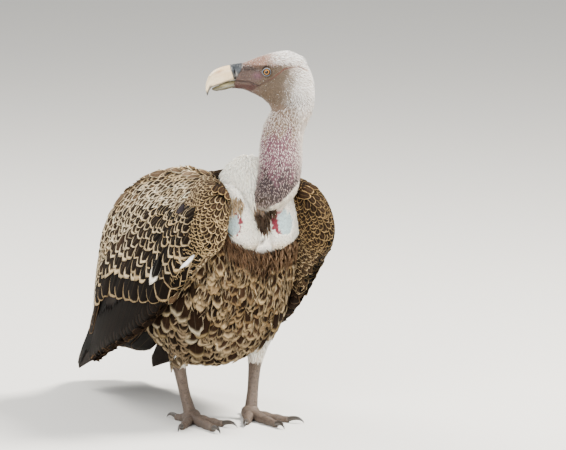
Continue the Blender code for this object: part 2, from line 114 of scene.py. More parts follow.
# %% Stations of the trunk, the head and the neck
# Trunk: back (y, z), belly (y, z), half width, share by which the widest line lies towards the belly
TRUNK = (
    (-0.062, 0.408, -0.116, 0.352, 0.044, 0.00),
    (-0.042, 0.404, -0.127, 0.318, 0.064, 0.05),
    (-0.010, 0.397, -0.125, 0.272, 0.080, 0.08),
    (0.038, 0.383, -0.102, 0.215, 0.090, 0.10),
    (0.085, 0.362, -0.066, 0.160, 0.096, 0.12),
    (0.134, 0.337, -0.018, 0.114, 0.096, 0.12),
    (0.184, 0.302, 0.045, 0.086, 0.089, 0.08),
    (0.230, 0.260, 0.118, 0.094, 0.078, 0.04),
    (0.266, 0.221, 0.190, 0.120, 0.062, 0.00),
    (0.290, 0.192, 0.240, 0.142, 0.044, 0.00),
)
# Head and neck: crown or nape (forward, up), chin or throat (forward, up), half width, shift to the left
HEAD_AND_NECK = (
    (0.0364, 0.0110, 0.0538, -0.0280, 0.0140, 0.000),
    (0.0248, 0.0158, 0.0368, -0.0295, 0.0174, 0.000),
    (0.0068, 0.0222, 0.0268, -0.0330, 0.0205, 0.000),
    (-0.0132, 0.0264, 0.0168, -0.0375, 0.0242, 0.000),
    (-0.0362, 0.0272, 0.0068, -0.0430, 0.0292, 0.000),
    (-0.0570, 0.0160, -0.0022, -0.0510, 0.0305, 0.000),
    (-0.0712, -0.0110, -0.0067, -0.0580, 0.0305, 0.000),
    (-0.0742, -0.0430, -0.0062, -0.0640, 0.0310, 0.000),
    (-0.0692, -0.0680, -0.0012, -0.0740, 0.0320, 0.000),
    (-0.0589, -0.0920, 0.0054, -0.0890, 0.0325, 0.001),
    (-0.0552, -0.1130, 0.0108, -0.1170, 0.0330, 0.006),
    (-0.0542, -0.1480, 0.0128, -0.1510, 0.0335, 0.015),
    (-0.0492, -0.1780, 0.0168, -0.1860, 0.0335, 0.021),
    (-0.0410, -0.1950, 0.0172, -0.2070, 0.0325, 0.013),
    (-0.0260, -0.2100, 0.0105, -0.2180, 0.0260, -0.006),
)
# Levels of what stands upright: x, y, z, half width, half depth
RUFF = (
    (0.004, -0.080, 0.345, 0.062, 0.048),
    (0.003, -0.078, 0.372, 0.055, 0.044),
    (0.002, -0.074, 0.397, 0.047, 0.037),
    (0.002, -0.074, 0.411, 0.037, 0.030),
    (0.002, -0.074, 0.421, 0.026, 0.022),
    (0.002, -0.075, 0.429, 0.010, 0.010),
)
CLEFT = 0.012  # the cleft between the breast pads lies this far to the left
BREAST_PAD = (  # x is measured outwards from the cleft
    (0.050, -0.094, 0.392, 0.008, 0.010),
    (0.046, -0.103, 0.378, 0.020, 0.022),
    (0.039, -0.107, 0.352, 0.031, 0.028),
    (0.036, -0.108, 0.326, 0.033, 0.030),
    (0.031, -0.110, 0.304, 0.028, 0.025),
    (0.022, -0.113, 0.286, 0.014, 0.013),
)
THIGH = (
    (0.056, -0.010, 0.215, 0.030, 0.040),
    (0.058, -0.004, 0.180, 0.033, 0.046),
    (0.061, 0.010, 0.148, 0.029, 0.038),
    (0.064, 0.024, 0.122, 0.020, 0.025),
    (0.065, 0.033, 0.102, 0.0150, 0.0185),
    (0.0645, 0.035, 0.087, 0.0125, 0.0150),
)
TARSUS = (
    (0.0645, 0.0350, 0.0867, 0.0105, 0.0120),
    (0.0625, 0.0335, 0.0760, 0.0094, 0.0098),
    (0.0580, 0.0290, 0.0480, 0.0086, 0.0082),
    (0.0535, 0.0240, 0.0260, 0.0094, 0.0096),
    (0.0505, 0.0210, 0.0120, 0.0108, 0.0115),
)
FOOT = np.array([0.050, 0.020, 0.013])
TOES = {  # heading from straight ahead towards the outer side, length, radius at the root
    "1": (math.radians(168), 0.040, 0.0078),
    "2": (math.radians(-30), 0.062, 0.0080),
    "3": (math.radians(2), 0.094, 0.0084),
    "4": (math.radians(36), 0.070, 0.0078),
}


def curve_through(stations, where):
    """Catmull-Rom reading of the rows of stations at fractional row numbers; where may have any shape."""
    rows = np.asarray(stations, float)
    rows = np.vstack([2 * rows[0] - rows[1], rows, 2 * rows[-1] - rows[-2]])
    where = np.asarray(where, float)
    start = np.clip(np.floor(where).astype(int), 0, len(rows) - 4)
    t = (where - start)[..., None]
    a, b, c, d = (rows[start + k] for k in range(4))
    return 0.5 * (2 * b + (c - a) * t + (2 * a - 5 * b + 4 * c - d) * t**2 + (3 * b - a - 3 * c + d) * t**3)


def rounded(values, fullness):
    """Sines or cosines pressed towards a box: sign(x) * |x| to the power 2 / fullness."""
    return np.sign(values) * np.abs(values) ** (2 / fullness)


def section(upper, lower, side, half_width, turn, fullness=2.2, low_width=0.0, inset=0.0):
    """A point on an oval section: middle + chord * sin(turn) + side * width * cos(turn).

    The chord runs from the lower to the upper outline point; inset draws the whole oval in.
    """
    out, rise = rounded(np.cos(turn), fullness), rounded(np.sin(turn), fullness)
    middle, chord = (upper + lower) / 2, (upper - lower) / 2
    size = np.linalg.norm(chord, axis=-1, keepdims=True)
    chord = chord * (1 - inset / size)
    reach = (half_width - inset) * out * (1 - low_width * rise)
    return middle + chord * rise[..., None] + reach[..., None] * side


def trunk_point(station, turn, inset=0.0):
    """The trunk's surface; turn is 90 degrees on the back, -90 on the belly and 0 on the left flank."""
    table = curve_through(TRUNK, station)
    zero = np.zeros_like(table[..., 0])
    upper = np.stack([zero, table[..., 0], table[..., 1]], axis=-1)
    lower = np.stack([zero, table[..., 2], table[..., 3]], axis=-1)
    side = np.array([1.0, 0.0, 0.0])
    return section(upper, lower, side, table[..., 4], turn, 2.25, table[..., 5], inset)


def neck_point(station, turn, inset=0.0):
    """The head and neck; turn is 90 degrees on the crown and nape, 0 on the bird's left cheek."""
    table = curve_through(HEAD_AND_NECK, station)
    upper = head_place(table[..., 0], table[..., 5], table[..., 1])
    lower = head_place(table[..., 2], table[..., 5], table[..., 3])
    return section(upper, lower, CHEEK, table[..., 4], turn, inset=inset)


def level_point(levels, station, turn, inset=0.0, side=1, shift=0.0):
    """A stack of level ovals, x = middle + width * cos(turn), y = middle + depth * sin(turn)."""
    table = curve_through(levels, station)
    x = table[..., 0] + (table[..., 3] - inset) * np.cos(turn)
    y = table[..., 1] + (table[..., 4] - inset) * np.sin(turn)
    return np.stack([side * x + shift, y, table[..., 2]], axis=-1)


eye_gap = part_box("eye_left")[1][2] - (EYE_MIDDLE + STEP)[2]
print("an eye reaches", round(eye_gap / MM, 2), "mm above its middle; its radius is", EYE_RADIUS / MM)

# %% [markdown]
# ## From numbers to meshes
# Blender takes a mesh fastest as flat arrays: all corner positions, then all faces as runs of corner
# numbers. One helper does that for every piece, moves it into the frame and hangs on it the colours and
# maps that its material will read.

# %% The one way by which a piece is made
def make_mesh(name, points, quads, triangles=(), attributes=None, maps=None):
    """A mesh from points (n, 3) in the bird's own place, quads (m, 4) and triangles (k, 3).

    attributes holds one number, vector or colour for each point, maps one (u, v) for each point.
    """
    quads = np.asarray(quads, np.int32).reshape(-1, 4)
    triangles = np.asarray(triangles, np.int32).reshape(-1, 3)
    corners = np.concatenate([quads.ravel(), triangles.ravel()])
    starts = np.concatenate([np.arange(len(quads)) * 4, len(quads) * 4 + np.arange(len(triangles)) * 3])
    mesh = bpy.data.meshes.new(name)
    mesh.vertices.add(len(points))
    mesh.vertices.foreach_set("co", (np.asarray(points) + STEP).astype(np.float32).ravel())
    mesh.loops.add(len(corners))
    mesh.loops.foreach_set("vertex_index", corners.astype(np.int32))
    mesh.polygons.add(len(starts))
    mesh.polygons.foreach_set("loop_start", starts.astype(np.int32))
    mesh.update(calc_edges=True)
    mesh.shade_smooth()
    for label, values in (attributes or {}).items():
        set_attribute(mesh, label, values)
    for label, values in (maps or {}).items():
        layer = mesh.uv_layers.new(name=label)
        layer.data.foreach_set("uv", np.asarray(values, np.float32)[corners].ravel())
    return mesh


def set_attribute(mesh, label, values):
    """Writes one number, one vector of three or one colour for each point of the mesh."""
    values = np.asarray(values, np.float32)
    if values.ndim == 1:
        mesh.attributes.new(label, "FLOAT", "POINT").data.foreach_set("value", values)
    else:
        colours = np.concatenate([values, np.ones((len(values), 1), np.float32)], axis=1)
        mesh.attributes.new(label, "FLOAT_COLOR", "POINT").data.foreach_set("color", colours.ravel())


def make_piece(name, mesh, materials, slot, replaced=()):
    """Hangs a mesh in the scene as a piece of the bird that stands for the named nodes."""
    for material in materials:
        mesh.materials.append(material)
    piece = bpy.data.objects.new(name, mesh)
    bpy.context.scene.collection.objects.link(piece)
    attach(piece, "root")
    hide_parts(*replaced)
    print(f"{name}: {len(mesh.vertices)} points, {len(mesh.polygons)} faces")
    return piece


def tube_mesh_parts(rings):
    """Closed tube from rings (n, around, 3): quads between them and a fan of triangles on each end."""
    count, around = rings.shape[:2]
    points = np.concatenate([rings.reshape(-1, 3), rings[:1].mean(1), rings[-1:].mean(1)])
    ring, k = np.meshgrid(np.arange(count - 1), np.arange(around), indexing="ij")
    here, there = ring * around, (ring + 1) * around
    after = (k + 1) % around
    quads = np.stack([here + k, here + after, there + after, there + k], axis=-1).reshape(-1, 4)
    k = np.arange(around)
    after = (k + 1) % around
    first, last = count * around, count * around + 1
    start = np.stack([np.full(around, first), after, k], axis=-1)
    end = np.stack([np.full(around, last), (count - 1) * around + k, (count - 1) * around + after], axis=-1)
    triangles = np.concatenate([start, end])
    if signed_volume(points, quads, triangles) < 0:
        quads, triangles = quads[:, ::-1], triangles[:, ::-1]
    return points, quads, triangles


def signed_volume(points, quads, triangles):
    """Sum of the tetrahedra from the middle to each face: below zero when the faces point inwards."""
    faces = np.concatenate([quads[:, [0, 1, 2]], quads[:, [0, 2, 3]], triangles])
    a, b, c = (points[faces[:, k]] - points.mean(0) for k in range(3))
    return float(np.einsum("ij,ij->i", a, np.cross(b, c)).sum())


def ring_normals(rings):
    """Outward unit normals of a grid of rings, from the cross product of its two directions."""
    along = np.gradient(rings, axis=0)
    around = np.roll(rings, -1, axis=1) - np.roll(rings, 1, axis=1)
    normals = np.cross(around, along)
    normals /= np.linalg.norm(normals, axis=-1, keepdims=True) + 1e-12
    outward = ((rings - rings.mean(1, keepdims=True)) * normals).sum()
    return normals if outward > 0 else -normals


def grid(first, last, rows, around):
    """Station numbers and turns for a closed tube of rows rings."""
    turn = np.linspace(0, 2 * np.pi, around, endpoint=False)
    return np.meshgrid(np.linspace(first, last, rows), turn, indexing="ij")


# %% [markdown]
# ## Colours and random roughness
# Natural colours are never even. Each one below is a measured mean, written as an sRGB hex value, and
# the variation round it comes from ripples: sums of waves in random directions, which give every point
# of space a smooth random number without any picture.

# %% Colour and noise helpers
def colour(code):
    """An sRGB hex value as linear red, green and blue."""
    srgb = np.array([int(code[k : k + 2], 16) for k in (1, 3, 5)]) / 255
    return np.where(srgb <= 0.04045, srgb / 12.92, ((srgb + 0.055) / 1.055) ** 2.4)


def smooth(values, low, high):
    """0 below low, 1 above high, 3t^2 - 2t^3 between; low may be the larger one."""
    t = np.clip((np.asarray(values, float) - low) / (high - low), 0, 1)
    return t * t * (3 - 2 * t)


def blend(base, other, share):
    """Moves each colour of base towards other by share."""
    return base + (np.asarray(other) - base) * np.asarray(share)[..., None]


def ripple(points, size, seed, stretch=(1, 1, 1)):
    """A smooth random number of about -1 to 1 at each point: the mean of 14 plane waves of that size."""
    chance = np.random.default_rng(seed)
    waves = chance.normal(size=(3, 14))
    waves *= 2 * np.pi / size * chance.uniform(0.6, 1.4, 14) / np.linalg.norm(waves, axis=0)
    waves *= np.array(stretch)[:, None]
    return np.sin(points @ waves + chance.uniform(0, 6.3, 14)).sum(-1) / math.sqrt(14)


def hump(forward, up, at, size, tilt=0.0):
    """A smooth hill: exp(-d^2) where d is the distance from its top in units of its two half sizes."""
    x, y = forward - at[0], up - at[1]
    c, s = math.cos(math.radians(tilt)), math.sin(math.radians(tilt))
    return np.exp(-(((x * c + y * s) / size[0]) ** 2) - ((y * c - x * s) / size[1]) ** 2)


def line_distance(forward, up, line):
    """Distance from each point to the nearest place on a line of (forward, up) corners."""
    best = np.full(np.shape(forward), 1e9)
    for (x0, y0), (x1, y1) in zip(line, line[1:]):
        along = ((forward - x0) * (x1 - x0) + (up - y0) * (y1 - y0)) / ((x1 - x0) ** 2 + (y1 - y0) ** 2)
        along = np.clip(along, 0, 1)
        gap = np.hypot(forward - x0 - along * (x1 - x0), up - y0 - along * (y1 - y0))
        best = np.minimum(best, gap)
    return best


# %% [markdown]
# ## The skin of the head
# A vulture's face is bare, so its skin shows every fold: a ridge of brow over the eye, a deep groove
# under it, the line of the gape that runs back from the bill, and a thin red crease that climbs from the
# throat past the eye to the nape. They are drawn as lines and humps in millimetres round the eye, and
# pushed into the smooth loft along its normals.

# %% Folds of the face
BROW = ((34, 3.2), (22, 4.6), (10, 6.6), (-3, 7.6))
GAPE = ((56, -14.2), (40, -15.0), (28, -15.4), (19.5, -18.4), (12, -21.8))
CREASE = ((30, -33), (26, -30), (12, -20.6), (-6, -10.8), (-17, -3), (-28, 5.5), (-49, 8.5), (-63, 1))
FOLDS = (
    ((44, -20), (30, -21), (19, -25), (9, -31)),
    ((38, -24), (26, -25.5), (16, -31)),
    ((26, -9), (14, -10.5), (4, -12.5), (-5, -15.5)),
    ((36, -8), (26, -12), (15, -14.5)),
    ((10, -24), (0, -20), (-12, -14)),
)


def face_relief(points):
    """How far the skin of the head and neck stands out from the smooth loft, in millimetres."""
    forward, left, up = head_measure(points)
    side = smooth(np.abs(left), 2, 7)
    brow, gape, crease = (line_distance(forward, up, line) for line in (BROW, GAPE, CREASE))
    out = 1.9 * hump(forward, up, (9, 9.6), (15, 2.3), -6) - 1.5 * np.exp(-((brow / 1.5) ** 2))
    out += -1.0 * hump(forward, up, (28, -4), (9, 5)) + 0.9 * hump(forward, up, (13, -13), (13, 2.6), 4)
    out += -1.6 * hump(forward, up, (0, 0), (9.5, 8.5)) + 1.3 * hump(forward, up, (-14, -24), (17, 12))
    out += -1.7 * np.exp(-((gape / 1.1) ** 2)) + 0.9 * np.exp(-(((gape - 2.6) / 1.3) ** 2))
    out += -0.8 * np.exp(-((crease / 0.9) ** 2)) + 0.45 * np.exp(-(((crease - 2.0) / 1.1) ** 2))
    for fold in FOLDS:
        out += -0.7 * np.exp(-((line_distance(forward, up, fold) / 0.9) ** 2))
    around_eye = np.hypot(forward, up)
    out += (0.45 * np.exp(-(((around_eye - 10.6) / 0.8) ** 2))
            - 0.4 * np.exp(-(((around_eye - 12.2) / 0.9) ** 2)))
    out *= side
    low = smooth(up, -20, -60)
    out += (0.20 + 0.25 * low) * ripple(points, 9 * MM, 11, (1, 1, 2.2)) + 0.10 * ripple(points, 3.2 * MM, 12)
    hole = smooth(around_eye, 6.9, 5.3) * smooth(np.abs(left), 8, 12)
    return out * (1 - hole) - 7.0 * hole


def coat_depth(points):
    """How deep the skin lies under the outline, in metres: almost nothing on the face, more on the nape."""
    forward, _, up = head_measure(points)
    return MM * (0.3 + 1.3 * smooth(forward, 0, -45) + 0.6 * smooth(up, -50, -90))


head_rows = np.concatenate([np.linspace(0, 7, 176)[:-1], np.linspace(7, 14, 112)])
station, turn = np.meshgrid(head_rows, np.linspace(0, 2 * np.pi, 156, endpoint=False), indexing="ij")
neck_rings = neck_point(station, turn)
neck_normals = ring_normals(neck_rings)
lift = face_relief(neck_rings) * MM - coat_depth(neck_rings)
neck_rings = neck_rings + neck_normals * lift[..., None]
print("relief of the face from", round(lift.min() / MM, 2), "to", round(lift.max() / MM, 2), "mm")

# %% [markdown]
# ## The rest of the body, and one skin over all of it
# Trunk, breast pads, ruff, thighs, shanks, feet and toes are lofts too. Overlapping closed shells are
# joined by a Boolean union, which throws away what is inside and leaves a single skin without seams.
# Scales on top of the toes are real ridges: half waves along the toe, strongest on its upper side.

# %% Lofts below the neck
PLUMAGE_DEPTH = {"trunk": 9 * MM, "pad": 4 * MM, "ruff": 7 * MM, "thigh": 6 * MM}


def toe_rings(heading, length, radius, side):
    """A toe as round rings along a straight way, swollen at each joint, flat where it meets the floor."""
    share = np.linspace(0, 1, 64)[:, None]
    turn = np.linspace(0, 2 * np.pi, 28, endpoint=False)[None]
    way = np.array([side * math.sin(heading), -math.cos(heading), 0.0])
    across = np.array([-way[1], way[0], 0.0])
    joints = 2 if length < 0.05 else 3
    size = radius * (1 - 0.34 * share) * (1 + 0.09 * np.cos(2 * np.pi * share * joints))
    size = size * (1 - 0.55 * smooth(share, 0.93, 1.0) ** 2)
    top = smooth(np.sin(turn), 0.1, 0.9)
    scutes = np.abs(np.sin(np.pi * share * length / 0.0042)) ** 0.6
    size = size + (0.0007 * scutes - 0.0005) * top
    start = 0.006
    spot = FOOT * (side, 1, 0) + way * (start + share * (length - start))[..., None]
    spot = spot + UP * (0.86 * radius * (1 - 0.34 * share) + 0.003 * (1 - share) ** 3)[..., None]
    rings = spot + (size * np.cos(turn))[..., None] * across + (size * np.sin(turn))[..., None] * UP
    rings[..., 2] = np.maximum(rings[..., 2], 0.0)
    return rings


def foot_rings(side):
    """The pad that the toes spring from: level ovals that follow half a circle, cut off by the floor."""
    height = np.linspace(0, np.pi, 16)[1:-3, None]
    turn = np.linspace(0, 2 * np.pi, 32, endpoint=False)[None]
    wide = np.sin(height) ** 0.8
    x = side * FOOT[0] + 0.0145 * wide * np.cos(turn)
    y = FOOT[1] + 0.0160 * wide * np.sin(turn)
    z = np.maximum(0.0105 + 0.0125 * np.cos(height) + 0 * turn, 0.0)
    return np.stack([x, y, z], axis=-1)


def pad_point(station, turn, inset, side):
    """A breast pad; its inner side is drawn in near the top, which opens the hollow under the neck."""
    point = level_point(BREAST_PAD, station, turn, inset, side, CLEFT)
    inner = smooth(-np.cos(turn), 0.1, 0.9) * smooth(point[..., 2], 0.305, 0.352)
    return point + (side * 0.0095 * inner)[..., None] * np.array([1.0, 0.0, 0.0])


def lower_lofts():
    """Every shell below the neck, as rings, from the trunk down to the toes."""
    yield trunk_point(*grid(0, len(TRUNK) - 1, 64, 72), PLUMAGE_DEPTH["trunk"])
    yield level_point(RUFF, *grid(0, 4.6, 28, 44), PLUMAGE_DEPTH["ruff"])
    for side in (1, -1):
        yield pad_point(*grid(0.3, 4.7, 84, 110), PLUMAGE_DEPTH["pad"], side)
        yield level_point(THIGH, *grid(0, 3.7, 26, 36), PLUMAGE_DEPTH["thigh"], side)
        station, turn = grid(0, len(TARSUS) - 1, 96, 40)
        shank = level_point(TARSUS, station, turn, 0.0, side)
        plates = np.abs(np.sin(station * 12.5)) ** 0.5 * smooth(-np.sin(turn), 0.2, 0.8)
        shank = shank + ring_normals(shank) * (0.0006 * plates)[..., None]
        above = level_point(THIGH, *grid(3.5, 5, 12, 40), 0.002, side)
        yield np.concatenate([above, shank])
        yield foot_rings(side)
        for heading, length, radius in TOES.values():
            yield toe_rings(heading, length, radius, side)


def shell_object(name, rings):
    points, quads, triangles = tube_mesh_parts(rings)
    shell = bpy.data.objects.new(name, make_mesh(name, points, quads, triangles))
    bpy.context.scene.collection.objects.link(shell)
    return shell


def united(name, shells):
    """The union of closed shells as one new mesh; the shells are removed."""
    first = shells[0]
    for other in shells[1:]:
        join = first.modifiers.new(other.name, "BOOLEAN")
        join.operation, join.solver, join.object = "UNION", "MANIFOLD", other
    graph = bpy.context.evaluated_depsgraph_get()
    mesh = bpy.data.meshes.new_from_object(first.evaluated_get(graph))
    mesh.name = name
    mesh.materials.clear()
    for shell in shells:
        bpy.data.objects.remove(shell)
    return mesh


shells = [shell_object("head_and_neck", neck_rings)]
shells += [shell_object("shell", rings) for rings in lower_lofts()]
skin_mesh = united("skin", shells)
skin_points = np.empty(len(skin_mesh.vertices) * 3)
skin_mesh.vertices.foreach_get("co", skin_points)
skin_points = skin_points.reshape(-1, 3) - STEP
print("one skin of", len(skin_mesh.polygons), "faces")

# %% [markdown]
# ## Colours of the skin
# The crown is pale, the lores are dusky, and the skin under the gape is a dark maroon; painted shade darkens
# the brow, the gape and the crease near it. A violet patch lies before the eye, and the neck goes from
# whitish grey through rose to a dusky mauve at its foot. Under the plumage the skin is painted dark brown as
# shade between the feathers. Each point gets its colour from soft masks on its place, so skin and coat can
# share them.

# %% The palette of the head, the neck and the bare patches
CROWN, CHEEK_SKIN, LORE = colour("#6f4c3a"), colour("#463624"), colour("#49362d")
# the first colour on the next line is painted shade: the brow's shadow, and the shade in the gape and the
# crease
FOLD_SHADE, MAROON, RED = colour("#241812"), colour("#351a14"), colour("#5a1b17")
VIOLET, NAPE = colour("#6a3a54"), colour("#a4988b")
NECK_HIGH, NECK_ROSE, NECK_LOW = colour("#67513f"), colour("#5f3842"), colour("#241314")
PATCH, PATCH_RED, DOWN_WHITE = colour("#a3b5b5"), colour("#731f2c"), colour("#f0e9db")
# the first colour on the next line is painted shade: dark skin so that gaps between feathers and the cleft
# read as shade
SHADE_SKIN, SHANK = colour("#2c1f15"), colour("#5d4d40")
MAROON_PATCH = ((54, -23.5), (44, -24.5), (33, -25), (22, -24))


def head_colour(points):
    """Skin colour of the head and neck from its head measures in millimetres."""
    forward, left, up = head_measure(points)
    blotch = ripple(points, 14 * MM, 21)
    tint = blend(CHEEK_SKIN, CROWN, smooth(up + 0.15 * forward + 2 * blotch, 4, 13))
    tint = blend(tint, LORE, smooth(forward, 5, 22) * smooth(up, 14, 5))
    tint = blend(tint, NAPE, smooth(forward + 0.2 * up + 4 * blotch, -24, -62) * smooth(up, -60, -30))
    tint = blend(tint, NAPE, 0.8 * smooth(up, 8, 17) * smooth(forward, 8, -22))
    low = smooth(up, -44, -62)
    neck = blend(NECK_HIGH, NECK_ROSE, smooth(up + 9 * blotch, -82, -112))
    rose = smooth(up + 12 * blotch, -135, -172)
    neck = blend(neck, NECK_LOW, rose)
    neck = blend(neck, NAPE, 0.75 * smooth(forward, -38, -56) * smooth(up, -150, -100))
    tint = blend(tint, neck, low)
    side = smooth(np.abs(left), 3, 9)
    # painted shade: the brow's shadow, a dark band along the brow over the eye and forwards towards the cere
    tint = blend(tint, FOLD_SHADE, 0.9 * side * hump(forward, up, (24, 4.3), (13.5, 4.0), 10))
    tint = blend(tint, FOLD_SHADE, 0.55 * side * hump(forward, up, (34, 3), (5.5, 8)))
    tint = blend(tint, VIOLET, 0.5 * side * hump(forward, up, (13.5, -6), (6.5, 5)))
    # painted shade of the brow just over the eye
    tint = blend(tint, FOLD_SHADE, 0.9 * side * hump(forward, up, (1, 8.3), (12, 2.2)))
    maroon = smooth(line_distance(forward, up, MAROON_PATCH), 6.2, 3.4) * smooth(up, -17.8, -19.8)
    tint = blend(tint, MAROON, 0.92 * maroon)
    tint = blend(tint, MAROON, 0.75 * smooth(up, -22, -30) * smooth(forward, 14, 30))
    # painted shade in the groove of the gape
    tint = blend(tint, FOLD_SHADE, 0.7 * smooth(line_distance(forward, up, GAPE), 1.6, 0.4))
    crease = line_distance(forward, up, CREASE)
    # the crease is red, and towards the gape painted shade darkens it in its fold
    edge = blend(RED, FOLD_SHADE, smooth(forward, -18, 4) * 0.8)
    tint = blend(tint, edge, 0.9 * side * smooth(crease, 0.85, 0.3) * smooth(forward, -66, -56))
    return tint


PAD_PATCH = {  # x, half width, z, half height of the oval, and the moved oval's step and width
    1: (0.0425, 0.0105, 0.3280, 0.0190, 0.85, 1.05),
    -1: (-0.0455, 0.0100, 0.3270, 0.0180, 0.36, 1.0),
}


def pad_patch(points, side):
    """Shares of bare patch and of red rim on a breast pad, from its own oval in the (x, z) plane.

    The rim is a crescent on the inner side: between the oval and the same oval moved towards the cleft.
    """
    middle, half, height, half_height, step, width = PAD_PATCH[side]
    wave = 0.08 * ripple(points, 8 * MM, 31)
    x, z = side * (points[..., 0] - middle) / half, (points[..., 2] - height) / half_height
    oval = np.hypot(x, z) + wave
    moved = np.hypot((x + step) / width, (z - 0.22) / 1.08) + 2 * wave
    front = smooth(points[..., 1], -0.080, -0.090)
    rim = smooth(moved, 1.05, 0.97) * smooth(oval, 0.97, 1.05) * smooth(x, -0.1, -0.3) * front
    return smooth(oval, 1.04, 0.96) * front, rim


def above_pads(points):
    """Height over the lower border of the breast pads, in metres."""
    out = np.abs(points[..., 0] - CLEFT)
    return points[..., 2] - np.interp(out, (0, 0.014, 0.032, 0.044, 0.053, 0.0615, 0.068),
                                      (0.2865, 0.2855, 0.2905, 0.2955, 0.3025, 0.316, 0.330))


def off_cleft(points):
    """Distance sideways from the line of the cleft, which bends a little on its way down."""
    line = np.interp(points[..., 2], (0.287, 0.315, 0.326, 0.3386, 0.345, 0.3574),
                     (0.003, 0.0125, 0.008, 0.006, 0.0075, 0.018))
    return np.abs(points[..., 0] - line)


def in_hollow(points):
    """1 in the hollow of the crop, a wedge between the pads that closes downwards."""
    half = np.interp(points[..., 2], (0.308, 0.314, 0.326, 0.3386, 0.3574),
                     (0.0002, 0.0018, 0.0070, 0.0120, 0.0205))
    return smooth(off_cleft(points) - half, 0.001, -0.001)


def over_neck(points):
    """Way across the neck's foot towards the left wing, square to the way in which the neck leans."""
    return 0.91 * points[..., 0] - 0.41 * points[..., 1]


def over_hollow(points):
    """1 on the part of the neck's foot that goes over into the hollow of the crop."""
    across = over_neck(points)
    return smooth(across, 0.036, 0.040) * smooth(across, 0.073, 0.067)


def below_neck(points):
    """1 under the slanting line at which the bare neck ends: it rises towards the left wing."""
    edge = np.interp(over_neck(points), (0.033, 0.044, 0.062, 0.085, 0.112),
                     (0.368, 0.356, 0.354, 0.364, 0.392))
    return smooth(points[..., 2] - edge, 0.001, -0.001)


def neck_share(points):
    """1 on the head and the neck, 0 elsewhere: the neck's sections are read at each point's height."""
    forward, left, up = head_measure(points)
    table = np.array(HEAD_AND_NECK[7:]) / MM
    levels = -(table[:, 1] + table[:, 3]) / 2
    front, back, half, shift = (np.interp(-up, levels, column) for column in table[:, (2, 0, 4, 5)].T)
    depth = (forward - (front + back) / 2) / ((front - back) / 2)
    oval = np.hypot(depth, (left - shift) / half)
    return np.maximum(smooth(oval, 1.12, 1.02) * smooth(up, -222, -212), smooth(up, -128, -122))


def skin_colour(points):
    """Skin colour of the whole bird; under thick plumage it is dark brown, painted shade between the
    feathers.
    """
    neck = neck_share(points)
    tint = np.tile(SHADE_SKIN, (len(points), 1))
    chest = smooth(points[:, 1], -0.070, -0.085) * smooth(above_pads(points), -0.002, 0.001)
    chest = chest * (1 - over_hollow(points) * smooth(points[:, 2], 0.350, 0.356))
    # white under the pads' down, but dark brown in the hollow under its brown feathers, and along a narrow
    # line of painted shade in the cleft
    tint = blend(tint, DOWN_WHITE, chest * (1 - in_hollow(points))
                 * smooth(off_cleft(points), 0.0006, 0.0018))
    tint = blend(tint, DOWN_WHITE, smooth(points[:, 2], 0.372, 0.388) * smooth(points[:, 1], -0.02, -0.035))
    tint = blend(tint, colour("#bfb4a2"), smooth(points[:, 2], 0.125, 0.105)
                 * smooth(points[:, 2], 0.080, 0.084))
    tint = blend(tint, SHANK, smooth(points[:, 2], 0.090, 0.086))
    for side in (1, -1):
        patch, rim = pad_patch(points, side)
        tint = blend(blend(tint, PATCH, patch), PATCH_RED, rim)
    tint = blend(tint, blend(DOWN_WHITE, SHADE_SKIN, over_hollow(points)), neck * below_neck(points))
    return blend(tint, head_colour(points), neck * (1 - below_neck(points)))


# %% [markdown]
# ## Materials
# Skin is soft and slightly translucent, with pores and fine creases that only show as bump. Scales on
# the shanks are small plates of horn with dark joints. All patterns are set in millimetres through
# object coordinates, so they keep their real size on every piece.

# %% One function adds a node, one feeds inputs, one starts a material
def feed(tree, node, inputs):
    """Feeds a node's inputs: a socket, or a node's first output, is linked, and a value is set."""
    for name, value in inputs.items():
        if isinstance(value, bpy.types.Node):
            value = value.outputs[0]
        if isinstance(value, bpy.types.NodeSocket):
            tree.links.new(value, node.inputs[name])
        else:
            node.inputs[name].default_value = value
    return node


def add(tree, kind, inputs=None, **settings):
    """Adds a node with its settings and feeds its inputs."""
    node = tree.nodes.new("ShaderNode" + kind)
    for name, value in settings.items():
        setattr(node, name, value)
    return feed(tree, node, inputs or {})


def start_material(name, roughness, **constants):
    """A material with a Principled shader whose constant sockets are set by name."""
    made = bpy.data.materials.new(name)
    made.use_nodes = True
    shader = made.node_tree.nodes["Principled BSDF"]
    shader.inputs["Roughness"].default_value = roughness
    for socket, value in constants.items():
        shader.inputs[socket.replace("_", " ").title().replace("Ior", "IOR")].default_value = value
    return made, made.node_tree, shader


def size_of(millimetres):
    """Scale of a Noise or Voronoi texture whose cells are this wide in a scene in metres."""
    return 1000 / millimetres


def linear(code):
    return (*colour(code), 1.0)


def tinted(tree, spread, size, seed):
    """The piece's own tint, made lighter and darker by a noise of one size: tint * (1 +- spread)."""
    place = add(tree, "TexCoord").outputs["Object"]
    tint = add(tree, "Attribute", attribute_name="tint")
    noise = add(tree, "TexNoise", {"Vector": place, "Scale": size_of(size), "Detail": 4.0, "W": seed},
                noise_dimensions="4D")
    share = add(tree, "MapRange", {"Value": noise, "From Min": 0.28, "From Max": 0.72,
                                   "To Min": 1 - spread, "To Max": 1 + spread})
    return place, add(tree, "VectorMath", {0: tint, "Scale": share}, operation="SCALE")


def grained_material(name, roughness, tone, grain=None, depth=0.0, **constants):
    """A tinted material with a bump of fine noise: tone is the tint's spread, size and seed, grain the
    noise's size in millimetres, its detail and its roughness, depth the bump's depth in metres."""
    made, tree, shader = start_material(name, roughness, **constants)
    place, tint = tinted(tree, *tone)
    feed(tree, shader, {"Base Color": tint})
    if grain:
        size, detail, rough = grain
        noise = add(tree, "TexNoise", {"Vector": place, "Scale": size_of(size), "Detail": detail,
                                       "Roughness": rough})
        feed(tree, shader, {"Normal": add(tree, "Bump", {"Height": noise, "Distance": depth})})
    return made


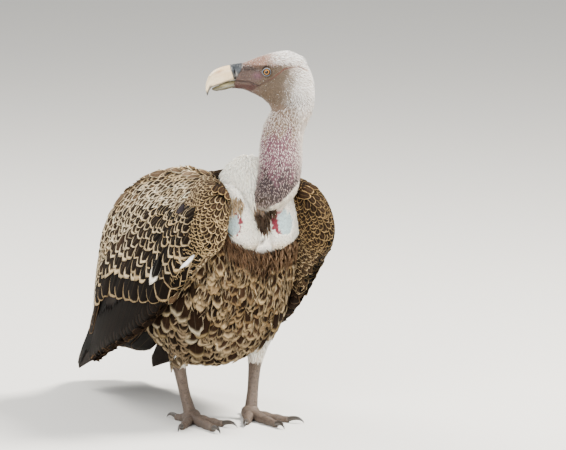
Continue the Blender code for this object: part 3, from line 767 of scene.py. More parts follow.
# %% Bare skin: pores of 1.7 mm and creases of 2.2 mm, both drawn coarser than real ones so that they show
skin_material, tree, shader = start_material(
    "bare skin", 0.52, Subsurface_weight=0.12, Subsurface_radius=(0.6, 0.25, 0.15),
    Subsurface_scale=0.004, Specular_ior_level=0.4)
place, tint = tinted(tree, 0.26, 3.2, 0.0)
pores = add(tree, "TexVoronoi", {"Vector": place, "Scale": size_of(1.7), "Randomness": 1.0})
creases = add(tree, "TexNoise", {"Vector": place, "Scale": size_of(2.2), "Detail": 6.0, "Roughness": 0.65})
dark = add(tree, "MapRange", {"Value": pores, "From Min": 0.0, "From Max": 0.45, "To Min": 0.55,
                              "To Max": 1.12})
relief = add(tree, "Math", {0: creases, 1: pores}, operation="ADD")
feed(tree, shader, {"Base Color": add(tree, "VectorMath", {0: tint, "Scale": dark}, operation="SCALE"),
                    "Normal": add(tree, "Bump", {"Height": relief, "Distance": 0.0009})})

# %% Leg scales, small rounded plates about 2 mm across with dark joints
scale_material, tree, shader = start_material("horny leg scales", 0.55)
place, tint = tinted(tree, 0.22, 5.0, 2.0)
plates = add(tree, "TexVoronoi", {"Vector": place, "Scale": size_of(2.0), "Randomness": 0.75},
             feature="DISTANCE_TO_EDGE")
joint = add(tree, "MapRange", {"Value": plates, "From Min": 0.0, "From Max": 0.16, "To Min": 0.34,
                               "To Max": 1.12})
feed(tree, shader, {"Base Color": add(tree, "VectorMath", {0: tint, "Scale": joint}, operation="SCALE"),
                    "Normal": add(tree, "Bump", {"Height": joint, "Distance": 0.0008})})

# %% The skin becomes a piece
set_attribute(skin_mesh, "tint", skin_colour(skin_points))
middles = np.empty(len(skin_mesh.polygons) * 3)
skin_mesh.polygons.foreach_get("center", middles)
middles = middles.reshape(-1, 3) - STEP
is_leg = (middles[:, 2] < 0.086).astype(np.int32)
FLESH = [n for n in nodes if n.split("_")[0] in ("head", "neck", "trunk", "ruff", "breast", "thigh",
                                                 "tarsus", "foot", "toe")]
make_piece("skin", skin_mesh, [skin_material, scale_material], "bare_skin", sorted(FLESH))
skin_mesh.polygons.foreach_set("material_index", is_leg)

# %% [markdown]
# ## Eyes and lids
# A vulture's eye is a ball 17 mm across, of which the lids show a disc of 11 mm. The iris is amber with
# a dark rim. Its colours depend on the distance from the eye's axis, which each point carries as a
# number. The lids are a firm pale ring of skin, and the upper one cuts a little into the disc.

# %% Eye measures and surfaces
EYE_DEPTH = 16.6  # from the head's middle to the middle of an eye, in millimetres
CORNEA = 0.5


def eye_rings(side):
    """A ball round the eye's axis: radius * (sin a, cos a), with a low dome of cornea over the iris."""
    angle = np.concatenate([np.linspace(0.012, 0.75, 46), np.linspace(0.8, 1.9, 14)])[:, None]
    turn = np.linspace(0, 2 * np.pi, 64, endpoint=False)[None]
    ball = EYE_RADIUS / MM
    reach = ball + CORNEA * smooth(angle, 0.72, 0.2)
    across = reach * np.sin(angle)
    out = EYE_DEPTH + reach * np.cos(angle) + 0 * turn
    rings = head_place(across * np.cos(turn) * MM, side * out * MM, across * np.sin(turn) * MM)
    return rings, np.repeat(across, 64, axis=1)


def lid_rings(side):
    """A ring of lid: an oval tube carried round the eye, leaning outwards, its upper half pulled down."""
    turn = np.linspace(0, 2 * np.pi, 96, endpoint=False)[:, None]
    around = np.linspace(0, 2 * np.pi, 20, endpoint=False)[None]
    top, corner = smooth(np.sin(turn), 0.0, 0.9), np.exp(-(((np.abs(np.cos(turn)) - 1) / 0.06) ** 2))
    inner = 5.35 - 0.75 * top + 0.35 * corner
    outer = 6.9 + 0.25 * top + 1.1 * corner * smooth(np.cos(turn), 0.2, 0.9)
    radial, long = (inner + outer) / 2, (outer - inner) / 2
    thick = 0.62 + 0.12 * top
    lean = math.radians(-40)
    a, b = long * np.cos(around), thick * np.sin(around)
    across = radial + a * math.cos(lean) - b * math.sin(lean)
    out = EYE_DEPTH + 5.75 + 0.25 * top + a * math.sin(lean) + b * math.cos(lean)
    wrinkle = 0.10 * np.sin(turn * 23 + 2 * np.sin(turn * 5)) * np.sin(around) ** 2
    across = across + wrinkle
    rings = head_place(across * np.cos(turn) * MM, side * out * MM, across * np.sin(turn) * MM)
    share = (across - inner) / (outer - inner)
    return rings, share, turn + 0 * around


def ring_faces(rows, around):
    """Quads of a tube that closes on itself both ways."""
    i, k = np.meshgrid(np.arange(rows), np.arange(around), indexing="ij")
    after, up = (k + 1) % around, (i + 1) % rows
    corners = [i * around + k, i * around + after, up * around + after, up * around + k]
    return np.stack(corners, -1).reshape(-1, 4)


# %% Eye and lid materials
eye_material, tree, shader = start_material("wet eye", 0.10, Specular_ior_level=0.3, Coat_weight=0.08,
                                           Coat_roughness=0.03)
spoke = add(tree, "Attribute", attribute_name="spoke")
reach = add(tree, "Attribute", attribute_name="reach").outputs["Fac"]
streak = add(tree, "TexNoise", {"Vector": spoke, "Scale": 9.0, "Detail": 3.0})
wobble = add(tree, "Math", {0: streak, 1: 0.9, 2: reach}, operation="MULTIPLY_ADD")
shared = add(tree, "MapRange", {"Value": wobble, "From Min": 0.45, "From Max": 8.45})
ramp = add(tree, "ValToRGB", {"Fac": shared})
stops = ((0.0, "#020202"), (0.30, "#040302"), (0.335, "#4a2c12"), (0.40, "#9a6a2c"), (0.48, "#8a5c2a"),
         (0.54, "#3c2412"), (0.59, "#0c0907"), (0.72, "#120e0b"))
while len(ramp.color_ramp.elements) < len(stops):
    ramp.color_ramp.elements.new(0.5)
for element, (position, code) in zip(ramp.color_ramp.elements, stops):
    element.position, element.color = position, linear(code)
feed(tree, shader, {"Base Color": ramp})
lid_material = grained_material("lid skin", 0.42, (0.12, 0.9, 3.0), (0.7, 3.0, 0.5), 0.0003,
                                Specular_ior_level=0.5)

# %% Both eyes and both pairs of lids
for name, side in (("left", 1), ("right", -1)):
    rings, across = eye_rings(side)
    points, quads, triangles = tube_mesh_parts(rings)
    turn = np.tile(np.linspace(0, 2 * np.pi, 64, endpoint=False), len(rings))
    spokes = np.stack([np.cos(turn), np.sin(turn), across.ravel() * 0.05], axis=-1)
    spokes = np.concatenate([spokes, [[0, 0, 0], [0, 0, 0.4]]])
    reaches = np.concatenate([across.ravel(), [0.0, 8.0]])
    mesh = make_mesh("eye", points, quads, triangles, {"spoke": spokes, "reach": reaches})
    make_piece("eyeball_" + name, mesh, [eye_material], "eye", ["eye_" + name])

    rings, share, turn = lid_rings(side)
    quads = ring_faces(*rings.shape[:2])
    if signed_volume(rings.reshape(-1, 3), quads, np.zeros((0, 3), int)) < 0:
        quads = quads[:, ::-1]
    tint = np.broadcast_to(colour("#68737a"), rings.shape)
    tint = blend(tint, colour("#1d1613"), smooth(share, 0.40, 0.20))
    # painted shade: the upper half of the lid is darker
    tint = blend(tint, colour("#40312a"), smooth(share, 0.45, 0.75) * smooth(np.sin(turn), 0.25, 0.7))
    tint = blend(tint, colour("#55453c"), smooth(share, 0.60, 0.85))
    mesh = make_mesh("lids", rings.reshape(-1, 3), quads, (), {"tint": tint.reshape(-1, 3)})
    make_piece("eyelids_" + name, mesh, [lid_material], "bare_skin")

# %% [markdown]
# ## Bill, cere and claws
# The bill is ivory horn over bone, with growth lines along it, a grey cutting edge and a dark tip. Its
# base is wrapped in the cere, a thick slate-grey skin in which the nostril is an upright slit. Each part
# is a loft of oval rings through a few measured stations.

# %% Stations of the bill and its surfaces
CERE = (  # ridge (forward, up), lower edge (forward, up), half width
    (0.0348, 0.0108, 0.0473, -0.0140, 0.0138),
    (0.0400, 0.0108, 0.0488, -0.0140, 0.0139),
    (0.0450, 0.0103, 0.0496, -0.0140, 0.0136),
    (0.0510, 0.0093, 0.0499, -0.0140, 0.0130),
    (0.0572, 0.0080, 0.0502, -0.0140, 0.0124),
)
UPPER_BILL = (
    (0.0540, 0.0076, 0.0480, -0.0140, 0.0114),
    (0.0585, 0.0075, 0.0508, -0.0150, 0.0119),
    (0.0690, 0.0050, 0.0595, -0.0175, 0.0112),
    (0.0797, 0.0003, 0.0705, -0.0218, 0.0096),
    (0.0877, -0.0072, 0.0790, -0.0243, 0.0078),
    (0.0924, -0.0172, 0.0845, -0.0262, 0.0056),
    (0.0938, -0.0282, 0.0885, -0.0320, 0.0033),
    (0.0922, -0.0380, 0.0908, -0.0392, 0.0012),
)
LOWER_BILL = (
    (0.0470, -0.0150, 0.0500, -0.0262, 0.0112),
    (0.0518, -0.0160, 0.0546, -0.0277, 0.0108),
    (0.0605, -0.0182, 0.0620, -0.0298, 0.0096),
    (0.0705, -0.0223, 0.0716, -0.0316, 0.0078),
    (0.0785, -0.0252, 0.0792, -0.0321, 0.0055),
    (0.0838, -0.0278, 0.0842, -0.0306, 0.0026),
)
NOSTRIL = (49.0, -1.6)


def bill_point(stations, rows, around, low_width):
    """Oval sections between the ridge and the lower edge; low_width makes the lower side narrower."""
    station, turn = grid(0, len(stations) - 1, rows, around)
    table = curve_through(stations, station)
    zero = 0 * station
    upper = head_place(table[..., 0], zero, table[..., 1])
    lower = head_place(table[..., 2], zero, table[..., 3])
    return section(upper, lower, CHEEK, table[..., 4], turn, 2.1, -low_width), station, turn


def slit(forward, up, size):
    """How near a place is to the nostril's upright slit, 1 on it; size is (half width, half length)."""
    return hump(forward, up, NOSTRIL, size, -14)


def cere_surface():
    rings, station, _ = bill_point(CERE, 60, 96, 0.12)
    forward, left, up = head_measure(rings)
    side = smooth(np.abs(left), 4, 8)
    lip = 0.55 * np.exp(-(((station - 3.72) / 0.16) ** 2)) - 0.9 * smooth(station, 3.86, 4.0)
    out = lip - 2.6 * side * slit(forward, up, (0.95, 4.2))
    out += 0.75 * side * (slit(forward, up, (2.9, 6.4)) - slit(forward, up, (1.7, 5.0)))
    out += 0.25 * ripple(rings, 7 * MM, 41) + 0.35 * hump(forward, up, (41, 3), (3.5, 7)) * side
    rings = rings + ring_normals(rings) * (out * MM)[..., None]
    tint = blend(colour("#1e2327"), colour("#413e3b"), smooth(up + 1.5 * ripple(rings, 8 * MM, 42), 2, -9))
    tint = blend(tint, colour("#1f2226"), 0.7 * smooth(up, 5, 9))
    tint = blend(tint, colour("#98928b"), 0.7 * side * hump(forward, up, (46.2, -5.0), (1.3, 4.5), -16))
    tint = blend(tint, colour("#7d756c"), 0.6 * smooth(station, 3.55, 3.85))
    # painted shade in the nostril's slit
    tint = blend(tint, colour("#12100f"), side * smooth(slit(forward, up, (1.25, 4.5)), 0.35, 0.7))
    tint = blend(tint, colour("#7d6c60"), 0.6 * smooth(forward, 40, 35))
    return rings, tint


def upper_bill_surface():
    rings, station, turn = bill_point(UPPER_BILL, 110, 80, 0.22)
    forward, _, up = head_measure(rings)
    low = -np.sin(turn)
    out = 0.10 * ripple(rings, 5 * MM, 51) + 0.35 * smooth(low, 0.45, 0.75) * smooth(station, 1.2, 2.2)
    rings = rings + ring_normals(rings) * (out * MM)[..., None]
    tint = blend(colour("#d8bc90"), colour("#e4cda5"), smooth(up + 2 * ripple(rings, 12 * MM, 52), -4, -16))
    tint = blend(tint, colour("#cba878"), 0.7 * smooth(up + forward * 0.2, 17, 21))
    tint = blend(tint, colour("#a8694a"), 0.6 * hump(forward, up, (73, -1.5), (4.5, 1.8), -30))
    tint = blend(tint, colour("#7f7566"), 0.85 * smooth(low, 0.60, 0.84) * smooth(station, 1.0, 2.5))
    tint = blend(tint, colour("#514e49"), 0.9 * smooth(low, 0.05, 0.5) * smooth(station, 4.3, 5.2))
    tint = blend(tint, colour("#2e2b29"), smooth(up, -29, -36))
    return rings, tint


def lower_bill_surface():
    rings, station, turn = bill_point(LOWER_BILL, 60, 64, -0.15)
    forward, _, up = head_measure(rings)
    rings = rings + ring_normals(rings) * (0.1 * MM * ripple(rings, 6 * MM, 61))[..., None]
    # painted shade: the mandible is darker than pale horn, as in the shade under the upper bill, and darkest
    # on its underside
    tint = blend(colour("#4f4830"), colour("#2c2619"), smooth(np.sin(turn), -0.3, -0.9))
    # painted highlight: a pale streak along its side
    tint = blend(tint, colour("#b7ad84"), 0.6 * hump(forward, up, (63, -22), (9, 2), -12))
    tint = blend(tint, colour("#39342a"), smooth(station, 4.2, 5.0))
    return rings, tint


# %% Horn and cere materials
# Horn is matt ivory with growth lines every 1.5 mm or so along the bill, and pits that only a low light shows
HORN = dict(grain=(1.4, 5.0, 0.6), depth=0.0004, Coat_weight=0.15, Coat_roughness=0.3)
bill_material = grained_material("ivory bill horn", 0.38, (0.07, 3.0, 4.0), **HORN)
claw_material = grained_material("dark claw horn", 0.36, (0.18, 3.0, 4.0), **HORN)
cere_material = grained_material("slate cere skin", 0.45, (0.18, 1.8, 5.0), (1.1, 4.0, 0.5), 0.0005)

# %% The bill's three pieces
for name, (rings, tint), material, slot_name, node in (
    ("cere_skin", cere_surface(), cere_material, "cere_skin", "cere"),
    ("upper_mandible", upper_bill_surface(), bill_material, "bill_horn", "bill_upper"),
    ("lower_mandible", lower_bill_surface(), bill_material, "bill_horn", "bill_lower"),
):
    points, quads, triangles = tube_mesh_parts(rings)
    tint = np.concatenate([tint.reshape(-1, 3), tint[:1].mean(1), tint[-1:].mean(1)])
    make_piece(name, make_mesh(name, points, quads, triangles, {"tint": tint}), [material], slot_name, [node])


# %% Eight claws, bent down to the floor and deeper than they are wide
def claw_rings(heading, length, radius, side):
    """Rings round a claw's middle line, an arc from the toe's end to the floor, and the share of the way."""
    share = np.linspace(0, 1, 26)[:, None]
    turn = np.linspace(0, 2 * np.pi, 18, endpoint=False)[None]
    way = np.array([side * math.sin(heading), -math.cos(heading), 0.0])
    across = np.array([-way[1], way[0], 0.0])
    root_height, claw_length, root = 0.86 * 0.73 * radius, 0.026, length - 0.003
    ahead = root + (claw_length + 0.003) * np.sin(share * 1.35) / math.sin(1.35)
    height = root_height + 0.0035 * np.sin(np.pi * share) - (root_height - 0.0014) * share**2
    size = 0.58 * radius * (1 - 0.90 * share**1.4)
    middle = FOOT * (side, 1, 0) + way * ahead[..., None] + UP * height[..., None]
    low = 1 - 0.25 * smooth(-np.sin(turn), 0.2, 1)
    rings = middle + (0.82 * size * np.cos(turn))[..., None] * across
    rings = rings + (1.05 * size * np.sin(turn) * low)[..., None] * UP
    rings[..., 2] = np.maximum(rings[..., 2], 0.0002)
    return rings, share + 0 * turn


for name, side in (("left", 1), ("right", -1)):
    for toe, (heading, length, radius) in TOES.items():
        rings, share = claw_rings(heading, length, radius, side)
        points, quads, triangles = tube_mesh_parts(rings)
        tint = blend(colour("#3d352d"), colour("#1c1815"), share)
        tint = np.concatenate([tint.reshape(-1, 3), tint[0, :1], tint[-1, :1]])
        mesh = make_mesh("claw", points, quads, triangles, {"tint": tint})
        make_piece(f"horn_{name}_{toe}", mesh, [claw_material], "claw_horn", [f"claw_{name}_{toe}"])

# %% [markdown]
# ## The lie of the coat
# A feather grows out of one point of the skin and lies along the body, tip to tail, over the ones behind
# it. So each one is laid by walking over the surface: from its root, a few short steps in the direction
# in which the coat lies there. The walk works on any surface that is a function of two numbers, and it
# gives every feather the bend of the body below it.

# %% Rows of roots over a surface
def roots_on(surface, lines, gaps, seed, loose=0.18):
    """Roots at equal distances on each line of the surface, every other line half a step on.

    A line is a start and an end in the surface's two numbers; loose moves each root at random by that
    share of the gap. It returns the places (n, 2).
    """
    chance = np.random.default_rng(seed)
    places = []
    share = np.linspace(0, 1, 80)
    for row, ((start, end), gap) in enumerate(zip(lines, gaps)):
        line = np.outer(1 - share, start) + np.outer(share, end)
        steps = np.linalg.norm(np.diff(surface(*line.T), axis=0), axis=1)
        run = np.concatenate([[0], np.cumsum(steps)])
        count = max(2, round(run[-1] / gap))
        where = (np.arange(count) + 0.25 + 0.5 * (row % 2) + loose * chance.normal(size=count)) / count
        where = np.interp(np.clip(where, 0, 1) * run[-1], run, share)
        places.append(np.outer(1 - where, start) + np.outer(where, end))
    places = np.concatenate(places)
    if len(lines) > 1:
        step = (np.array(lines[-1][0]) - np.array(lines[0][0])) / (len(lines) - 1)
        places = places + loose * chance.normal(size=(len(places), 1)) * step
    return places


def roots_round(surface, stations, gap, seed, loose=0.18, low=0.0, high=2 * math.pi):
    """Places of roots on rings of a tube between two turns, gap metres apart."""
    lines = [((station, low), (station, high)) for station in stations]
    return roots_on(surface, lines, np.broadcast_to(gap, len(lines)), seed, loose)


def stations_apart(surface, turn, first, last, gap):
    """Station numbers from first to last at which the surface, followed at one turn, has moved on by gap.

    gap is a length in metres or a function that gives one for a station number.
    """
    found, station = [], first
    sign = 1 if last > first else -1
    while (last - station) * sign > 0:
        found.append(station)
        wanted = gap(station) if callable(gap) else gap
        ends = surface(np.array([station, station + 0.01 * sign]), np.array([turn, turn]))
        station += 0.01 * sign * wanted / (np.linalg.norm(ends[1] - ends[0]) + 1e-9)
    return found


# %% Walks over a surface or over a mesh
def unit(vectors):
    """Vectors made one long."""
    return vectors / (np.linalg.norm(vectors, axis=-1, keepdims=True) + 1e-12)


def slopes(surface, places):
    """Point, two tangents and unit normal of a surface at places (n, 2), by small differences."""
    one, two = places.T
    step = 1e-3
    along = (surface(one + step, two) - surface(one - step, two)) / (2 * step)
    across = (surface(one, two + step) - surface(one, two - step)) / (2 * step)
    return surface(one, two), along, across, unit(np.cross(along, across))


def in_plane(way, normal):
    """A direction laid flat on the surface, one long."""
    return unit(way - (way * normal).sum(1, keepdims=True) * normal)


def walk(surface, places, lie, length, yaw=0.0, steps=8, tips=False, facing=1):
    """Walks from each place in the direction lie(point), turned by yaw, for its length in metres.

    Each step solves along * a + across * b = direction * step, so the path stays on the surface. facing is
    -1 where the cross product of the two tangents points inwards. With tips the places are those of the
    tips: the walk goes backwards and is then turned round. It returns paths and normals (n, steps + 1, 3).
    """
    places = places.astype(float).copy()
    paths, normals = [], []
    step = (-1 if tips else 1) * np.broadcast_to(length, len(places))[:, None] / steps
    yaw = np.broadcast_to(yaw, len(places))[:, None]
    for _ in range(steps + 1):
        point, along, across, normal = slopes(surface, places)
        normal = normal * facing
        paths.append(point)
        normals.append(normal)
        way = in_plane(lie(point), normal)
        way = (way * np.cos(yaw) + np.cross(normal, way) * np.sin(yaw)) * step
        aa, bb, ab = (along**2).sum(1), (across**2).sum(1), (along * across).sum(1)
        wa, wb = (way * along).sum(1), (way * across).sum(1)
        below = aa * bb - ab**2 + 1e-18
        places[:, 0] += (wa * bb - wb * ab) / below
        places[:, 1] += (wb * aa - wa * ab) / below
    turned = slice(None, None, -1 if tips else 1)
    return np.stack(paths, 1)[:, turned], np.stack(normals, 1)[:, turned]


def walk_over(tree, places, lie, length, yaw, steps=7):
    """Walks over a mesh from points (n, 3): a step along the tangent plane, then back to the nearest face.

    The direction keeps a part of the last one, so that it stays sure of itself where the lie meets the
    surface end on. It returns paths and normals (n, steps + 1, 3), as walk does.
    """
    point = places.astype(float).copy()
    step = np.broadcast_to(length, len(point))[:, None] / steps
    yaw = np.broadcast_to(yaw, len(point))[:, None]
    paths, normals, last = [], [], np.zeros(point.shape)
    for _ in range(steps + 1):
        found = [tree.find_nearest(place) for place in point.tolist()]
        point = np.array([near[0] for near in found])
        normal = np.array([near[1] for near in found])
        paths.append(point)
        normals.append(normal)
        last = in_plane(lie(point) + 0.6 * last, normal)
        point = point + (last * np.cos(yaw) + np.cross(normal, last) * np.sin(yaw)) * step
    return np.stack(paths, 1), np.stack(normals, 1)


# %% [markdown]
# ## A feather
# A vane is a long tongue of parallel barbs on both sides of a shaft. Its mesh is a grid of columns that
# run from root to tip: the middle one is longest and the outer ones end sooner, which rounds the tip, and
# a little chance in where each ends gives the ragged edge of a worn feather. The underside shares the
# border of the upper side, so that each feather is a thin closed body.

# %% Vanes: many feathers at once, as one array
def vane_faces(rows, columns):
    """Corner numbers of one closed vane: an upper grid and an underside that shares its border."""
    top = np.arange(rows * columns).reshape(rows, columns)
    bottom = top.copy()
    inner = (rows - 2) * (columns - 2)
    bottom[1:-1, 1:-1] = rows * columns + np.arange(inner).reshape(rows - 2, columns - 2)
    faces = []
    for sheet, order in ((top, (0, 1, 2, 3)), (bottom, (3, 2, 1, 0))):
        corners = np.stack([sheet[:-1, :-1], sheet[:-1, 1:], sheet[1:, 1:], sheet[1:, :-1]], -1)
        faces.append(corners.reshape(-1, 4)[:, order])
    return np.concatenate(faces)


def vanes(paths, normals, width, lift, rise, seed, rows=7, columns=5, taper=0.5, ragged=0.03, droop=0.10,
          curl=0.0, base=0.40, roll=0.0, point=2.0, thick=0.00025):
    """Points of vanes along paths: middle + side * u * half width + normal * height.

    width is the full width and lift the height of the root over the path; rise is added towards the tip,
    droop lowers both edges by that share of the width, and curl lifts the tip more with the cube of v.
    taper is the share of the length by which the outer columns are shorter, with u to the power point.
    """
    chance = np.random.default_rng(seed)
    count, steps = len(paths), paths.shape[1] - 1
    width, lift, rise, curl, roll, taper = (
        np.broadcast_to(value, count)[:, None, None] for value in (width, lift, rise, curl, roll, taper))
    v = np.linspace(0, 1, rows)[None, :, None]
    u = np.linspace(-1, 1, columns)[None, None, :]
    end = 1 - taper * np.abs(u) ** point + ragged * chance.uniform(-1, 1, (count, 1, columns))
    where = np.clip(v * end, 0, 1.2) * steps
    cell = np.clip(np.floor(where).astype(int), 0, steps - 1)
    part = (where - cell)[..., None]
    who = np.arange(count)[:, None, None]
    middle = paths[who, cell] * (1 - part) + paths[who, cell + 1] * part
    normal = normals[who, cell] * (1 - part) + normals[who, cell + 1] * part
    side = unit(np.cross((paths[:, 1:] - paths[:, :-1])[who, cell], normal))
    reach = 0.5 * width * np.minimum(1, base + 1.7 * v) * u * (1 + 0.04 * np.sin(7 * v + 9 * who))
    height = lift + rise * v + curl * v**3 - droop * width * u**2 + roll * reach
    upper = middle + side * reach[..., None] + normal * height[..., None]
    lower = upper - normal * (thick * (1 - np.abs(u)) * 0.3 + thick)[..., None]
    points = np.concatenate([upper.reshape(count, -1, 3), lower[:, 1:-1, 1:-1].reshape(count, -1, 3)], 1)
    flat = np.broadcast_to(np.stack(np.broadcast_arrays(u / 2 + 0.5, v), -1), (count, rows, columns, 2))
    flat = np.concatenate([flat.reshape(count, -1, 2), flat[:, 1:-1, 1:-1].reshape(count, -1, 2)], 1)
    faces = vane_faces(rows, columns)[None] + (np.arange(count) * points.shape[1])[:, None, None]
    return points, flat, faces.reshape(-1, 4)


class Coat:
    """Collects vanes or tufts for one piece, then makes it; looks are repeated for each of their points."""

    def __init__(self):
        self.points, self.quads, self.triangles, self.maps, self.looks, self.total = [], [], [], [], {}, 0

    def take(self, points, faces, maps, looks):
        count, each = points.shape[:2]
        (self.quads if faces.shape[1] == 4 else self.triangles).append(faces + self.total)
        self.points.append(points.reshape(-1, 3))
        self.maps.append({label: values.reshape(-1, 2) for label, values in maps.items()})
        for label, values in looks.items():
            values = np.asarray(values, float)
            if values.ndim < 3:
                values = np.repeat(np.broadcast_to(values, (count, values.shape[-1]))[:, None], each, 1)
            self.looks.setdefault(label, []).append(values.reshape(-1, 3))
        self.total += count * each

    def piece(self, name, material, slot_name, replaced=()):
        quads = np.concatenate(self.quads) if self.quads else np.zeros((0, 4), int)
        triangles = np.concatenate(self.triangles) if self.triangles else np.zeros((0, 3), int)
        looks = {label: np.concatenate(values) for label, values in self.looks.items()}
        maps = {label: np.concatenate([m[label] for m in self.maps]) for label in self.maps[0]}
        mesh = make_mesh(name, np.concatenate(self.points), quads, triangles, looks, maps)
        print("  triangles:", 2 * len(quads) + len(triangles))
        return make_piece(name, mesh, [material], slot_name, replaced)


def bake_patch(flat, root, size):
    """Each feather's own patch of the bake map: size wide and high at its root's place on the unwrap."""
    size = np.broadcast_to(size, (len(root), 2))[:, None]
    return np.clip(root, 0.01, 0.98)[:, None] + (flat - (0.5, 0.0)) * size * (0.98, 0.98)


def add_vanes(coat, paths, normals, unwrap, length, width, looks, seed, patch=0.008, side=1, **shape):
    """Vanes along given paths, with their sizes among their looks; side = -1 mirrors them to the right."""
    points, flat, faces = vanes(paths, normals, width, seed=seed, **shape)
    if side < 0:
        points = points * (-1, 1, 1)
        faces = faces[:, ::-1]
    chance = np.random.default_rng(seed + 1).uniform(size=len(paths))
    size = np.stack(np.broadcast_arrays(np.asarray(width) / 2 / MM, np.asarray(length) / MM, chance), -1)
    looks = dict(looks, form=np.broadcast_to(size, (len(paths), 3)))
    coat.take(points, faces, {"vane": flat, "OFBake": bake_patch(flat, unwrap, patch)}, looks)


def lay_feathers(coat, surface, places, unwrap, lie, length, width, looks, seed, yaw=0.0, patch=0.008,
                 side=1, steps=8, tips=False, facing=1, **shape):
    """Walks over the surface and lays vanes along the paths; yaw is in degrees."""
    paths, normals = walk(surface, places, lie, length, np.radians(yaw), steps, tips, facing)
    add_vanes(coat, paths, normals, unwrap, length, width, looks, seed, patch, side, **shape)


# %% [markdown]
# ## What a feather looks like
# Each feather carries two colours, that of its middle and that of its fringe, and how wide the fringe is
# at the sides and at the tip, in millimetres. The material works out how far a place is from the edge,
# with a little noise as barbs wear unevenly, and adds a pale shaft and fine slanting barbs. Barbs are
# drawn 1.1 mm apart, which is three times coarser than real ones, so that they show.

# %% The vane material
BARB_GAP = 1.1  # millimetres
SOFT = {"interpolation_type": "SMOOTHSTEP"}


